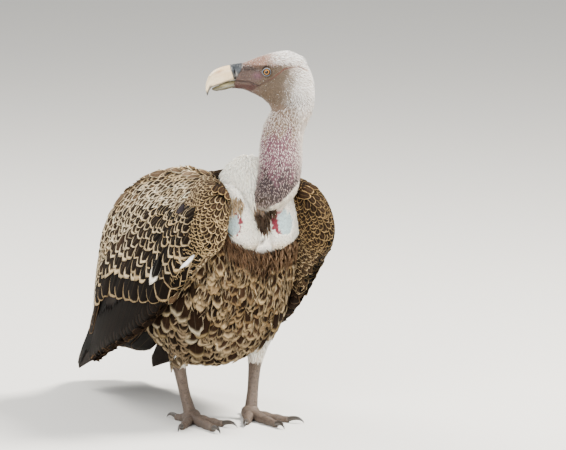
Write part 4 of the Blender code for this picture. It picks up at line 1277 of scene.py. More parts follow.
def vane_material(name, roughness, shine, edge=0.26, shaft_share=0.12, fade=0.15):
    """edge is how soft the border of the fringe is, as a share of its width; fade is how much the middle
    lightens towards it; shaft_share is how pale the shaft is."""
    made, tree, shader = start_material(name, roughness, Specular_ior_level=shine)
    core, fringe, form, trim = (add(tree, "Attribute", attribute_name=label).outputs["Color"]
                                for label in ("core", "fringe", "form", "trim"))
    half, length, chance = add(tree, "SeparateColor", {"Color": form}).outputs
    side_trim, tip_trim, spots = add(tree, "SeparateColor", {"Color": trim}).outputs
    u, v, _ = add(tree, "SeparateXYZ", {"Vector": add(tree, "UVMap", uv_map="vane")}).outputs
    # share of the way from shaft to edge, and the millimetres left to the side and to the tip
    across = add(tree, "Math", {0: u, 1: 2.0, 2: -1.0}, operation="MULTIPLY_ADD")
    across = add(tree, "Math", {0: across}, operation="ABSOLUTE")
    inwards = add(tree, "Math", {0: 1.0, 1: across}, operation="SUBTRACT")
    from_side = add(tree, "Math", {0: inwards, 1: half}, operation="MULTIPLY")
    behind = add(tree, "Math", {0: 1.0, 1: v}, operation="SUBTRACT")
    from_tip = add(tree, "Math", {0: behind, 1: length}, operation="MULTIPLY")
    # barbs run outwards and forwards: their number grows with the way along the shaft less that across
    along = add(tree, "Math", {0: v, 1: length}, operation="MULTIPLY")
    slant = add(tree, "Math", {0: half, 1: 0.9}, operation="MULTIPLY")
    slant = add(tree, "Math", {0: across, 1: slant}, operation="MULTIPLY")
    barb = add(tree, "Math", {0: along, 1: slant}, operation="SUBTRACT")
    lane = add(tree, "CombineXYZ", {"X": add(tree, "Math", {0: barb, 1: 1 / BARB_GAP}, operation="MULTIPLY"),
                                    "Y": add(tree, "Math", {0: chance, 1: 97.0}, operation="MULTIPLY"),
                                    "Z": add(tree, "Math", {0: u, 1: 1.3}, operation="MULTIPLY")})
    fibre = add(tree, "TexNoise", {"Vector": lane, "Scale": 1.0, "Detail": 2.0})
    place = add(tree, "TexCoord").outputs["Object"]
    cloud = add(tree, "TexNoise", {"Vector": place, "Scale": size_of(7.0), "Detail": 3.0})
    # both noises move the border of the fringe; inside it the share of the middle colour is 1
    fine = add(tree, "Math", {0: fibre, 1: 0.9, 2: -0.45}, operation="MULTIPLY_ADD")
    broad = add(tree, "Math", {0: cloud, 1: 0.7, 2: -0.35}, operation="MULTIPLY_ADD")
    wear = add(tree, "Math", {0: fine, 1: broad}, operation="ADD")
    reach, inside = [], []
    for left, width in ((from_side, side_trim), (from_tip, tip_trim)):
        share = add(tree, "Math", {0: left, 1: width}, operation="DIVIDE")
        reach.append(add(tree, "Math", {0: share, 1: wear}, operation="ADD"))
        inside.append(add(tree, "MapRange", {"Value": reach[-1], "From Min": 1 - edge, "From Max": 1 + edge},
                          **SOFT))
    middle = add(tree, "Math", {0: inside[0], 1: inside[1]}, operation="MULTIPLY")
    spotted = add(tree, "MapRange", {"Value": cloud, "From Min": 0.50, "From Max": 0.58}, **SOFT)
    spotted = add(tree, "Math", {0: spotted, 1: spots}, operation="MULTIPLY")
    middle = add(tree, "Math", {0: middle, 1: spotted}, operation="MAXIMUM")
    nearest = add(tree, "Math", {0: reach[0], 1: reach[1]}, operation="MINIMUM")
    faded = add(tree, "MapRange", {"Value": nearest, "From Min": 1.25, "From Max": 0.2}, **SOFT)
    beside = add(tree, "Math", {0: across, 1: half}, operation="MULTIPLY")
    shaft = add(tree, "MapRange", {"Value": beside, "From Min": 0.55, "From Max": 0.15}, **SOFT)
    shaft = add(tree, "Math", {0: shaft, 1: shaft_share}, operation="MULTIPLY")
    worn = add(tree, "Mix", {0: faded, 6: core, 7: fringe}, data_type="RGBA").outputs[2]
    mixed = add(tree, "Mix", {0: middle, 6: fringe, 7: core}, data_type="RGBA").outputs[2]
    mixed = add(tree, "Mix", {0: fade, 6: mixed, 7: worn}, data_type="RGBA").outputs[2]
    mixed = add(tree, "Mix", {0: shaft, 6: mixed, 7: fringe}, data_type="RGBA").outputs[2]
    # light and dark barb by barb and in clouds, and painted shade towards the root, where the feather above
    # lies over it
    barbs = add(tree, "Math", {0: fibre, 1: 1.7, 2: 0.15}, operation="MULTIPLY_ADD")
    clouds = add(tree, "Math", {0: cloud, 1: 0.8, 2: 0.6}, operation="MULTIPLY_ADD")
    level = add(tree, "Math", {0: barbs, 1: clouds}, operation="MULTIPLY")
    ahead = add(tree, "MapRange", {"Value": v, "From Min": 0.05, "From Max": 0.55}, **SOFT)
    ahead = add(tree, "Math", {0: ahead, 1: 0.35, 2: 0.65}, operation="MULTIPLY_ADD")
    level = add(tree, "Math", {0: level, 1: ahead}, operation="MULTIPLY")
    feed(tree, shader, {"Base Color": add(tree, "VectorMath", {0: mixed, "Scale": level}, operation="SCALE"),
                        "Normal": add(tree, "Bump", {"Height": fibre, "Distance": 0.0005, "Strength": 0.8})})
    return made


feather_material = vane_material("feather vanes", 0.85, 0.04)
soft_material = vane_material("loose contour feathers", 0.92, 0.02, 0.60, 0.08, 0.45)
flight_material = vane_material("stiff flight feather vanes", 0.72, 0.03, shaft_share=0.30)

# %% [markdown]
# ## Wings
# Under the feathers each wing gets a plain dark core that follows its two faces. On it lie the coverts:
# small scales with thin buff rims at the bend of the wing, paler streaked ones along the top, larger ones
# in rows below, and one row of great ones whose tips end along the black flight feathers. The rows are
# placed by the tips, because those are what shows.

# %% The wing's surface
WING = (  # upper edge (y, z), lower edge (y, z), middle x, half thickness, inward lean of the upper edge
    (-0.156, 0.372, -0.166, 0.336, 0.084, 0.013, 0.008),
    (-0.132, 0.391, -0.160, 0.300, 0.090, 0.025, 0.018),
    (-0.085, 0.397, -0.120, 0.274, 0.097, 0.027, 0.032),
    (-0.025, 0.397, -0.070, 0.236, 0.104, 0.022, 0.042),
    (0.045, 0.391, -0.015, 0.190, 0.110, 0.017, 0.044),
    (0.110, 0.375, 0.045, 0.154, 0.113, 0.014, 0.038),
    (0.172, 0.348, 0.120, 0.122, 0.110, 0.012, 0.028),
    (0.238, 0.303, 0.198, 0.098, 0.103, 0.010, 0.016),
    (0.288, 0.235, 0.268, 0.077, 0.092, 0.008, 0.010),
    (0.330, 0.163, 0.330, 0.058, 0.079, 0.006, 0.007),
    (0.388, 0.097, 0.390, 0.042, 0.069, 0.004, 0.004),
    (0.440, 0.044, 0.440, 0.028, 0.061, 0.002, 0.001),
)
LEFT_WING_SHIFT = np.array([0.003, 0.0, -0.006])
BEND = 0.7  # the bend of the wing is rounded off over this many stations
LOWEST = -1.57  # the turn of a section's lowest or foremost line


def wing_point(station, turn, layer=0.0):
    """A closed lens: turn is 0 on the outer face, 90 degrees on the upper edge, 180 on the inner face.

    depth = (1 - sin(turn)) / 2 runs from the upper edge to the lower; the thickness goes with cos(turn).
    """
    table = curve_through(WING, np.maximum(station, 0))
    cap = np.sqrt(np.clip(1 - np.clip((BEND - station) / BEND, 0, 1) ** 2, 1e-4, 1))
    chord = table[..., 2:4] - table[..., 0:2]
    size = np.linalg.norm(chord, axis=-1)
    depth = 0.5 - 0.5 * np.sin(turn) * cap * (1 + 2 * layer / size)
    out = np.cos(turn)
    bulge = 0.8 * out + 0.2 * np.tanh(6 * out)
    middle = table[..., 4] - table[..., 6] * np.sign(1 - depth) * (1 - depth) ** 2
    x = middle + (table[..., 5] + layer) * cap * bulge
    y = table[..., 0] + chord[..., 0] * depth
    z = table[..., 1] + chord[..., 1] * depth
    return np.stack([x, y, z], axis=-1)


def outer_turn(depth):
    """The turn of a place on the outer face at a share of the wing's depth."""
    return np.arcsin(np.clip(1 - 2 * np.asarray(depth, float), -1, 1))


def side_lie(angles):
    """Direction in the side plane: angles below backwards, read at heights from (height, angle) pairs."""
    heights, degrees = np.array(angles).T

    def lie(point):
        height = point[:, 2] + 0.25 * np.minimum(point[:, 1], 0.10)
        angle = np.radians(np.interp(height, heights, degrees))
        return np.stack([0 * angle, np.cos(angle), -np.sin(angle)], -1)

    return lie


# Lie of the coverts: steep low down, flatter high up (heights fall towards the bend)
covert_lie = side_lie(((0.08, 62), (0.16, 62), (0.24, 56), (0.30, 46), (0.36, 33), (0.42, 24)))
flight_lie = side_lie(((0.05, 32), (0.12, 38), (0.18, 46), (0.26, 48)))
primary_lie = side_lie(((0.02, 31), (0.10, 38), (0.20, 44), (0.32, 46)))

core_material = grained_material("wing web under the feathers", 0.85, (0.3, 6.0, 7.0), Specular_ior_level=0.1)


# %% Looks of the wing's feathers
def looks_of(count, core, fringe, trim, spread, seed, spots=0.0):
    """Core and fringe colours made lighter or darker by chance, and the widths of the fringe."""
    chance = np.random.default_rng(seed)
    core = np.broadcast_to(core, (count, 3)) * np.exp(spread * chance.normal(size=(count, 1)))
    fringe = np.broadcast_to(fringe, (count, 3)) * np.exp(0.6 * spread * chance.normal(size=(count, 1)))
    trim = np.broadcast_to(np.array(trim, float).T, (count, 2))
    trim = trim * chance.uniform(0.8, 1.25, (count, 1))
    spots = np.broadcast_to(spots, count)[:, None]
    return {"core": np.clip(core, 0, 0.9), "fringe": np.clip(fringe, 0, 0.9),
            "trim": np.concatenate([trim, spots], 1)}


DARK, BROWN, MID = colour("#0f0a06"), colour("#291c12"), colour("#65503a")
BUFF, SAND, CREAM = colour("#ae8f61"), colour("#c4aa80"), colour("#decdac")
BLACK = colour("#040302")

# Rows of median coverts: first and last station, depth of the tips at station 4 and its change with each
# station, width, length and gap in millimetres, pale tip in millimetres
MEDIAN_ROWS = (
    (2.3, 7.7, 0.800, -0.108, 33.0, 64, 24.5, 6.5),
    (2.1, 7.9, 0.690, -0.102, 29.0, 54, 21.5, 4.8),
    (1.9, 7.9, 0.585, -0.095, 25.0, 46, 18.5, 3.8),
    (1.8, 7.8, 0.490, -0.086, 21.0, 38, 15.5, 3.2),
    (1.7, 7.8, 0.405, -0.078, 17.5, 33, 13.0, 3.4),
    (1.7, 7.7, 0.330, -0.070, 14.0, 29, 10.5, 3.0),
)


# Single feathers of the right wing: station, depth, length and width in millimetres, the two colours, the
# fringe at the sides and the tip, and the angle below backwards
SINGLE_FEATHERS = (
    (1.98, 0.335, 19, 15, "#2b2527", "#3a3233", (1.0, 1.5), 45),
    (1.66, 0.950, 46, 6.0, "#efece6", "#f4f1ea", (1.5, 6.0), 28),
    (3.45, 0.70, 52, 26, "#0b0806", "#efe6d4", (0.3, 15.0), 60),
)

# %% Primaries, secondaries and tertials
def lay_flight(coat, face, unwrap, along_tips, chance, seed, side):
    """Primaries, stacked towards the wing's tip, then secondaries along the lower edge, then tertials."""
    count = 9
    k = np.arange(count)
    places = np.stack([8.7 + 0.285 * k, outer_turn(0.93 - 0.065 * k)], -1)
    looks = looks_of(count, BLACK, colour("#241a12"), (1.0, 1.5), 0.12, seed + 1)
    lay_feathers(coat, face, places, unwrap(places), primary_lie, 0.175 + 0.008 * k, 0.028, looks,
                 seed + 2, patch=(0.03, 0.10), side=side, steps=16, tips=True, rows=18, columns=7, taper=0.13,
                 point=2.2, lift=-0.002, rise=0.0015 + 0.0002 * k, droop=0.04, ragged=0.010, base=0.5)
    places = along_tips(3.6, 9.4, 0.985, -0.002, 0.0165, seed + 3)
    count = len(places)
    k = np.arange(count)
    looks = looks_of(count, blend(BLACK, BROWN, 0.10), colour("#3a2b1e"), (0.9, 1.8), 0.15, seed + 3)
    lay_feathers(coat, face, places, unwrap(places), flight_lie, 0.105 + 0.001 * k, 0.028, looks,
                 seed + 4, yaw=chance.normal(0, 1.5, count), patch=(0.02, 0.07), side=side, steps=12,
                 tips=True, rows=14, columns=7, taper=0.16, point=2.4, lift=0.0001 * k, rise=0.0018,
                 droop=0.05, ragged=0.012, base=0.5)
    count = 9
    k = np.arange(count)
    places = np.stack([9.3 - 0.27 * k, outer_turn(0.45 - 0.030 * k)], -1)
    looks = looks_of(count, blend(DARK, BROWN, 0.25), MID, (2.0, 3.5), 0.12, seed + 5)
    lay_feathers(coat, face, places, unwrap(places), flight_lie, 0.120, 0.036, looks, seed + 6,
                 yaw=chance.normal(-4, 2.0, count), patch=(0.02, 0.06), side=side, steps=12, tips=True,
                 rows=14, columns=7, taper=0.20, point=2.4, lift=0.0012, rise=0.003, droop=0.05, ragged=0.02,
                 base=0.5)


# %% Great and median coverts
def lay_coverts(coat, face, unwrap, along_tips, chance, seed, side):
    """One row of broad dark great coverts with thin rims, then the rows of median ones."""
    places = along_tips(2.7, 8.3, 0.945, -0.112, 0.0330, seed + 7)
    count = len(places)
    looks = looks_of(count, blend(BLACK, BROWN, 0.12), blend(MID, SAND, chance.uniform(0.3, 1, count)),
                     (1.5, 2.8), 0.15, seed + 7)
    looks["trim"] *= chance.uniform(0.5, 1.6, (count, 1))
    lay_feathers(coat, face, places, unwrap(places), covert_lie, 0.074, 0.0440, looks, seed + 8,
                 yaw=chance.normal(0, 3.0, count), patch=(0.02, 0.05), side=side, steps=10, tips=True,
                 rows=12, columns=9, taper=0.20, point=1.9, lift=0.0022, rise=0.0026, droop=0.08,
                 ragged=0.016, base=0.5)

    # median coverts: rows that grow from scale to tongue, dark with pale pointed tips
    for number, (first, last, depth, slope, width, length, gap, tip) in enumerate(MEDIAN_ROWS):
        places = along_tips(first, last, depth, slope, gap * MM, seed + 20 + number)
        count = len(places)
        places[:, 1] += (0.06 if number else 0.03) * chance.normal(size=count)
        back_share = smooth(places[:, 0], 3.4, 6.8) * smooth(number, -1, 3)
        core = blend(BLACK, BROWN, 0.15 + 0.6 * back_share)
        fringe = blend(blend(BUFF, SAND, 0.7), CREAM, 0.5 * back_share + 0.5 * chance.uniform(size=count))
        looks = looks_of(count, core, fringe, (0.085 * width, tip), 0.25, seed + 30 + number)
        looks["trim"] *= chance.uniform(0.75, 1.35, (count, 1))
        looks["trim"][:, 0] *= 1 + 0.5 * back_share
        lay_feathers(coat, face, places, unwrap(places), covert_lie,
                     length * MM * chance.uniform(0.9, 1.1, count), width * MM, looks, seed + 40 + number,
                     yaw=chance.normal(0, 4.0, count), patch=0.012, side=side, tips=True, rows=9,
                     columns=5, taper=0.30, point=1.5, lift=0.0030 + 0.0004 * number, rise=0.0022, droop=0.10,
                     ragged=0.03)


# %% Streaked coverts along the top of the wing
def lay_streaked(coat, face, unwrap, chance, seed, side):
    """Pale streaked coverts and scapulars along the top of the wing and over its edge."""
    stations = stations_apart(face, 0.9, 8.4, 1.7, 0.0120)
    places = roots_round(face, stations, 0.0092, seed + 60, 0.10, 0.46, 2.3)
    count = len(places)
    edge = smooth(places[:, 1], 0.9, 1.5)
    core = blend(BROWN, colour("#58432f"), chance.uniform(0, 1, count))
    fringe = blend(SAND, colour("#e6d7ba"), chance.uniform(0.1, 1.0, count))
    looks = looks_of(count, blend(core, DARK, 0.6), blend(fringe, BUFF, 0.8 * edge), (2.1, 5.2), 0.25,
                     seed + 61)
    looks["trim"] *= chance.uniform(0.8, 1.2, (count, 1))
    lay_feathers(coat, face, places, unwrap(places), covert_lie, 0.032 * chance.uniform(0.9, 1.1, count),
                 0.0112, looks, seed + 62, yaw=chance.normal(0, 3.5, count), patch=0.006, side=side,
                 rows=7, columns=5, taper=0.45, point=1.4, lift=0.0036, rise=0.0026, droop=0.12, ragged=0.04)


# %% Small scales round the bend of the wing
def bend_lie(point):
    """Down and back, and outwards near the front, so that the rows run over the bend."""
    front = smooth(point[:, 1], -0.06, -0.13)
    angle = np.radians(np.interp(point[:, 2], (0.25, 0.30, 0.36, 0.42), (74, 68, 50, 36)) + 14 * front)
    return np.stack([0.45 * front, np.cos(angle), -np.sin(angle)], -1)


def lay_scales(coat, face, unwrap, chance, seed, side):
    """Small scales all round the bend of the wing, growing backwards and down."""
    station, turn = grid(0.02, 5.0, 90, 64)
    web = face(station, turn)
    points, quads, triangles = tube_mesh_parts(web)
    bend = BVHTree.FromPolygons(points.tolist(), quads.tolist() + triangles.tolist())
    stations = [0.0, 0.006] + stations_apart(face, 0.0, 3.4, 0.02, lambda s: (5.8 + 0.9 * s) * MM)
    gaps = [(4.9 + 0.5 * s) * MM for s in stations]
    places = roots_round(face, stations, gaps, seed + 70, 0.13)
    turn = (places[:, 1] - LOWEST) % (2 * np.pi) + LOWEST
    kept = (places[:, 0] < 1.9) | (turn < 0.7 - 1.6 * (places[:, 0] - 1.9)) | (turn > 2.3)
    edge = (places[:, 0] > 1.3) & ((turn < -0.9) | (turn > 4.2))
    crowded = (places[:, 0] > 1.0) & (turn > -0.9) & (turn < 0.2)
    kept = kept & (chance.uniform(size=len(turn)) < np.where(edge, 0.25, np.where(crowded, 0.6, 1.0)))
    places, turn, edge = places[kept], turn[kept], edge[kept]
    count = len(places)
    low = smooth(turn, 0.3, -0.9) * smooth(places[:, 0], 0.3, 1.2)
    scale = (9.6 + 1.3 * places[:, 0] + 5.0 * low + 3.0 * edge) * MM
    # on the left wing the pale top is smaller, part of its painted shade
    high = smooth(turn, 0.25, 0.9) * smooth(places[:, 0], 0.6, 2.4) * (0.75 if side > 0 else 1.0)
    core = blend(blend(BROWN, DARK, 0.3), BLACK, smooth(turn, 0.4, -0.4) * smooth(places[:, 0], 0.2, 1.0))
    looks = looks_of(count, blend(core, MID, 0.4 * high), blend(blend(BUFF, SAND, 0.6), CREAM, 0.5 * high),
                     (0.9, 1.6), 0.20, seed + 71)
    looks["trim"][:, :2] *= (1 + 0.4 * high)[:, None]
    # painted shade: on the left wing the same scales are darker, most of all low down
    if side > 0:
        looks["core"] = looks["core"] * 0.55
        looks["fringe"] = blend(looks["fringe"], 0.75 * BUFF, 0.8 - 0.5 * high) * (0.92 - 0.60 * low)[:, None]
        looks["trim"][:, :2] *= 0.8
    length = (15 + 3 * places[:, 0] + 7 * edge) * MM
    paths, normals = walk_over(bend, face(*places.T), bend_lie, length,
                               np.radians(chance.normal(0, 6.0, count)))
    add_vanes(coat, paths, normals, unwrap(places), length, scale, looks, seed + 72, 0.006, side, rows=6,
              columns=5, taper=0.30, point=2.2, lift=0.0030, rise=0.0020, droop=0.10, ragged=0.04)

    # where the lie meets the surface end on, feathers from behind close the parting
    web_places = np.stack([value.ravel() for value in grid(0.1, 2.6, 30, 64)], -1)
    point, _, _, normal = slopes(face, web_places)
    way = bend_lie(point)
    meets = (way * normal).sum(1) / np.linalg.norm(way, axis=1)
    centre = point[np.argmin(meets)]
    top_way = np.array([0.5, -0.65, -0.35])
    across = np.cross(top_way, normal[np.argmin(meets)])
    across /= np.linalg.norm(across)
    spread = np.array([(-11, -5), (-11, 5), (-7, -10), (-7, 0), (-7, 10), (-3, -5), (-3, 5), (1, -9), (1, 0),
                       (1, 9)])
    roots = centre + spread[:, :1] * MM * top_way + spread[:, 1:] * MM * across
    count = len(roots)
    looks = looks_of(count, blend(BROWN, DARK, 0.3), BUFF, (0.9, 1.5), 0.2, seed + 74)
    paths, normals = walk_over(bend, roots, lambda point: np.broadcast_to(top_way, point.shape), 0.019,
                               np.radians(chance.normal(0, 8.0, count)))
    add_vanes(coat, paths, normals, unwrap(np.tile((0.9, 1.6), (count, 1))), 0.019, 0.013, looks, seed + 75,
              0.006, side, rows=6, columns=5, taper=0.30, point=2.2, lift=0.0042 + 0.0003 * np.arange(count),
              rise=0.0015, droop=0.10, ragged=0.04)


# %% Single feathers and the inner face
def lay_last(coat, face, unwrap, chance, seed, side):
    """Single feathers that stand out on the right wing, then the plain brown inner face."""
    for station, depth, long, wide, dark, pale, trim, below in SINGLE_FEATHERS if side < 0 else ():
        place = np.array([(station, outer_turn(depth))])
        looks = looks_of(1, colour(dark), colour(pale), trim, 0.0, seed + 90)
        lay_feathers(coat, face, place, unwrap(place), side_lie(((0.0, below), (1.0, below))), long * MM,
                     wide * MM, looks, seed + 91, patch=0.008, side=side, rows=8, columns=5, taper=0.35,
                     point=1.6, lift=0.0062, rise=0.004, droop=0.12, ragged=0.03)

    # the inner face, plain and brown
    stations = stations_apart(face, 3.1, 8.8, 1.4, 0.021)
    places = roots_round(face, stations, 0.017, seed + 80, low=2.2, high=4.65)
    count = len(places)
    looks = looks_of(count, blend(BLACK, BROWN, 0.4), blend(BROWN, MID, 0.5), (1.4, 2.2), 0.2, seed + 81)
    lay_feathers(coat, face, places, unwrap(places), covert_lie, 0.038, 0.020, looks, seed + 82,
                 yaw=chance.normal(0, 5.0, count), patch=0.006, side=side, rows=6, columns=5,
                 taper=0.3, lift=-0.0005, rise=0.002, droop=0.1, ragged=0.04)


# %% Both wings are dressed
def dress_wing(name, side):
    """All the feathers of one wing, from the wrist to the tip."""
    seed = 100 if side > 0 else 200
    shift = LEFT_WING_SHIFT if side > 0 else 0 * LEFT_WING_SHIFT
    chance = np.random.default_rng(seed)

    def face(station, turn):
        return wing_point(station, turn, -0.0015 - 0.0030 * smooth(station, 1.8, 0.6)) + shift

    def unwrap(places):
        return np.stack([0.03 + 0.93 * places[:, 0] / 11, 0.5 + 0.94 * places[:, 1] / (2 * np.pi)], -1)

    def along_tips(first, last, depth, slope, gap, seed):
        """Places at equal distances on a line of tips, depth = depth + slope * (station - 4)."""
        share = np.linspace(0, 1, 200)
        station = first + (last - first) * share
        turn = outer_turn(np.clip(depth + slope * (station - 4), 0.04, 0.965))
        steps = np.linalg.norm(np.diff(face(station, turn), axis=0), axis=1)
        run = np.concatenate([[0], np.cumsum(steps)])
        count = round(run[-1] / gap)
        where = (np.arange(count) + 0.5 + 0.12 * np.random.default_rng(seed).normal(size=count)) / count
        station = first + (last - first) * np.interp(where * run[-1], run, share)
        turn = outer_turn(np.clip(depth + slope * (station - 4), 0.04, 0.965))
        return np.stack([station, turn], -1)

    coverts, flight = Coat(), Coat()
    rows = face, unwrap, along_tips, chance, seed, side
    lay_flight(flight, *rows)
    lay_coverts(coverts, *rows)
    for lay in (lay_streaked, lay_scales, lay_last):
        lay(coverts, face, unwrap, chance, seed, side)

    station, turn = grid(0.02, 10.9, 110, 48)
    below = 0.0032 * smooth(station, 11.5, 8.0) + 0.0030 * smooth(station, 1.8, 0.6)
    core = wing_point(station, turn, -below) + shift
    points, quads, triangles = tube_mesh_parts(core * (side, 1, 1))
    tint = np.tile(colour("#1d1611"), (len(points), 1))
    make_piece("wing_web_" + name, make_mesh("web", points, quads, triangles, {"tint": tint}),
               [core_material], "flight_feathers")
    parts = [n for n in sorted(nodes) if n.startswith("wing_" + name)]
    flying = [n for n in parts if n.split("_")[2] in ("secondaries", "primaries")]
    flight.piece("flight_feathers_" + name, flight_material, "flight_feathers", flying)
    coverts.piece("wing_coverts_" + name, feather_material, "body_feathers",
                  [n for n in parts if n not in flying])


dress_wing("left", 1)
dress_wing("right", -1)

# %% [markdown]
# ## The body's contour feathers
# Breast and belly wear soft rounded feathers, each dark brown in the middle with a broad worn buff tip, so
# that the row above leaves a scallop of buff over a shadow of brown. They hang nearly straight down on
# the breast and turn backwards along the flanks. Towards the legs their tips grow whiter.

# %% Surfaces on which the body coat grows
def trunk_coat(station, turn):
    return trunk_point(station, turn, 0.0045)


def body_lie(point):
    """Downwards on the breast, turning backwards along the body, spreading a little from the middle."""
    angle = np.radians(np.interp(point[:, 1], (-0.12, -0.02, 0.10, 0.25), (86, 66, 42, 30)))
    above = smooth(point[:, 2], 0.30, 0.38) * smooth(point[:, 1], -0.07, 0.0)
    angle = angle * (1 - 0.5 * above)
    return np.stack([1.6 * point[:, 0], np.cos(angle), -np.sin(angle)], -1)


def tube_unwrap(last):
    """Unwrap of a closed tube: stations up, turns across."""
    def unwrap(places):
        return np.stack([(places[:, 1] / (2 * np.pi)) % 1.0, places[:, 0] / last], -1)
    return unwrap


chance = np.random.default_rng(500)
unwrap = tube_unwrap(9.4)
stations = stations_apart(trunk_coat, LOWEST, 9.2, 0.35, 0.0112)
places = roots_round(trunk_coat, stations, 0.0112, 501, 0.22)
point = trunk_coat(*places.T)
hidden = (np.abs(point[:, 0]) > 0.066) & (point[:, 2] > 0.26 - 0.3 * point[:, 1]) & (point[:, 1] > -0.08)
front_pads = (point[:, 1] < -0.075) & (above_pads(point) > -0.004)
kept = ~hidden & ~front_pads
# the coat is parted across into two pieces, so that each stays under the limit of triangles
front = point[:, 1] < 0.035
for label, seed, part in (("breast_feathers", 503, kept & front), ("body_feathers", 523, kept & ~front)):
    body = Coat()
    where, at = places[part], point[part]
    count = len(where)
    on_back = smooth(np.sin(where[:, 1]), 0.15, 0.5)
    low = smooth(at[:, 2], 0.20, 0.12)
    flank = smooth(np.abs(at[:, 0]), 0.045, 0.08) * smooth(at[:, 2], 0.26, 0.2)
    patchy = ripple(at, 0.05, 502)
    core = blend(colour("#140d08"), colour("#35251a"), smooth(patchy, -1, 1) * chance.uniform(0.3, 1, count))
    core = blend(core, colour("#1c130c"), 0.6 * np.maximum(on_back, flank))
    fringe = blend(colour("#6b5438"), colour("#b29a74"), chance.uniform(0, 1, count) * 0.8 + 0.2 * low)
    fringe = blend(fringe, colour("#c4b394"), 0.5 * np.maximum(low, flank) * chance.uniform(0.2, 1, count))
    fringe = blend(fringe, MID, 0.55 * on_back)
    side_trim = np.maximum(0.9 + 0.2 * patchy, 0.5) * chance.uniform(0.4, 1.6, count)
    tip_trim = np.maximum(6.6 - 3.8 * on_back + 1.5 * patchy + 1.0 * flank, 1.5) * chance.uniform(0.4, 1.35,
                                                                                                  count)
    looks = looks_of(count, core, fringe, np.stack([side_trim, tip_trim]), 0.22, seed,
                     chance.uniform(0, 0.7, count))
    lay_feathers(body, trunk_coat, where, unwrap(where), body_lie, 0.033 * chance.uniform(0.8, 1.2, count),
                 0.0160 + 0.0035 * low, looks, seed + 1, yaw=chance.normal(0, 13.0, count), patch=0.011,
                 rows=7, columns=7, taper=0.30, point=2.4, lift=0.0,
                 rise=0.0065 * chance.uniform(0.5, 1.3, count), droop=0.15, ragged=0.10,
                 curl=chance.normal(0.0, 0.0011, count), roll=chance.normal(0, 0.11, count))
    if label == "breast_feathers":
        # loose thread-like feathers over the breast and the belly
        barbs = roots_round(trunk_coat, np.arange(1.2, 7.6, 0.12), 0.0095, 525, 0.4, -2.6, -0.5)
        at = trunk_coat(*barbs.T)
        barbs = barbs[(above_pads(at) < -0.018) & (at[:, 1] < 0.0)
                      & (chance.uniform(0.05, 0.25, len(at)) < at[:, 2])]
        count = len(barbs)
        tone = blend(colour("#3f2c1c"), colour("#bca684"), chance.uniform(0, 1, count))
        looks = looks_of(count, tone, blend(tone, colour("#c2ad8b"), 0.5), (0.3, 5.0), 0.2, 526)
        lay_feathers(body, trunk_coat, barbs, unwrap(barbs), body_lie,
                     0.017 * chance.uniform(0.7, 1.3, count), 0.0016, looks, 527,
                     yaw=chance.normal(0, 15, count), patch=0.004, steps=5, rows=5, columns=3, taper=0.6,
                     point=1.2, lift=0.003, rise=0.0045, droop=0.1, ragged=0.1, base=0.2,
                     curl=chance.normal(0, 0.0015, count))
    else:
        # broad white-tipped fans on both flanks before the thighs
        row, column = (value.ravel() for value in np.meshgrid(np.arange(4), np.arange(4), indexing="ij"))
        fans = np.stack([3.9 + 0.36 * row, -0.95 + 0.17 * column + 0.08 * (row % 2)], -1)
        fans = fans + chance.normal(0, 0.035, fans.shape)
        for side in (1, -1):
            looks = looks_of(16, colour("#1b110a"), blend(colour("#7a6746"), colour("#a69a82"),
                             chance.uniform(0, 1, 16)), (0.8, 7.0), 0.15, 506)
            lay_feathers(body, trunk_coat, fans, unwrap(fans * (1, side)), body_lie, 0.046, 0.027, looks, 507,
                         yaw=chance.normal(0, 6, 16), patch=0.008, side=side, rows=9, columns=7,
                         taper=0.26, lift=0.005, rise=0.0085, droop=0.12, ragged=0.06)
    body.piece(label, soft_material, "body_feathers")

# %% [markdown]
# ## Hair-like feathers round the crop
# Below the breast pads runs a fringe of long narrow feathers, rusty brown with pale streaks, and the hollow
# between the pads is lined with the same kind in darker brown.

# %% Rusty fringe, hollow of the crop, and the streaked tuft under the ruff
def crop_lie(point):
    """Downwards, drawing together under the cleft between the pads."""
    together = -7.0 * (point[:, 0] - CLEFT)
    return np.stack([together, 0.1 + 0 * together, 0 * together - 1.0], -1)


strands = Coat()
unwrap = tube_unwrap(4.0)
STRAND = dict(patch=0.004, rows=6, columns=3, taper=0.6, point=1.2, droop=0.1, ragged=0.1, base=0.15)
stations = np.arange(2.9, 0.60, -0.12)
places = roots_round(trunk_coat, stations, 0.0017, 511, 0.3, -2.95, -0.20)
above = above_pads(trunk_coat(*places.T))
places = places[(above < 0.003) & (above > -0.020)]
count = len(places)
tone = chance.uniform(0, 1, count)
core = blend(colour("#382317"), colour("#8f6c50"), tone**1.2)
looks = looks_of(count, core, blend(core, colour("#b0906f"), 0.5), (0.3, 4.0), 0.25, 512)
lay_feathers(strands, trunk_coat, places, unwrap(places), crop_lie, 0.026 * chance.uniform(0.5, 1.35, count),
             0.0017, looks, 513, yaw=chance.normal(0, 17, count), lift=0.002, rise=0.0060,
             curl=chance.normal(0, 0.002, count), **STRAND)
stations = np.arange(1.35, -0.2, -0.10)
places = roots_round(trunk_coat, stations, 0.0022, 514, 0.3, LOWEST - 0.72, LOWEST + 0.72)
point = trunk_coat(*places.T)
places = places[(in_hollow(point) > 0.3) & (point[:, 2] > 0.322)]
count = len(places)
tone = chance.uniform(0, 1, count)
core = blend(colour("#281a12"), colour("#6d5240"), tone**1.6)
looks = looks_of(count, core, blend(core, colour("#93806c"), 0.4), (0.4, 2.0), 0.3, 515)
lay_feathers(strands, trunk_coat, places, unwrap(places), body_lie, 0.018 * chance.uniform(0.7, 1.2, count),
             0.0030, looks, 516, yaw=chance.normal(0, 10, count), lift=-0.001, rise=0.006, **STRAND)


def right_pad(station, turn):
    return pad_point(station, turn, 0.003, -1)


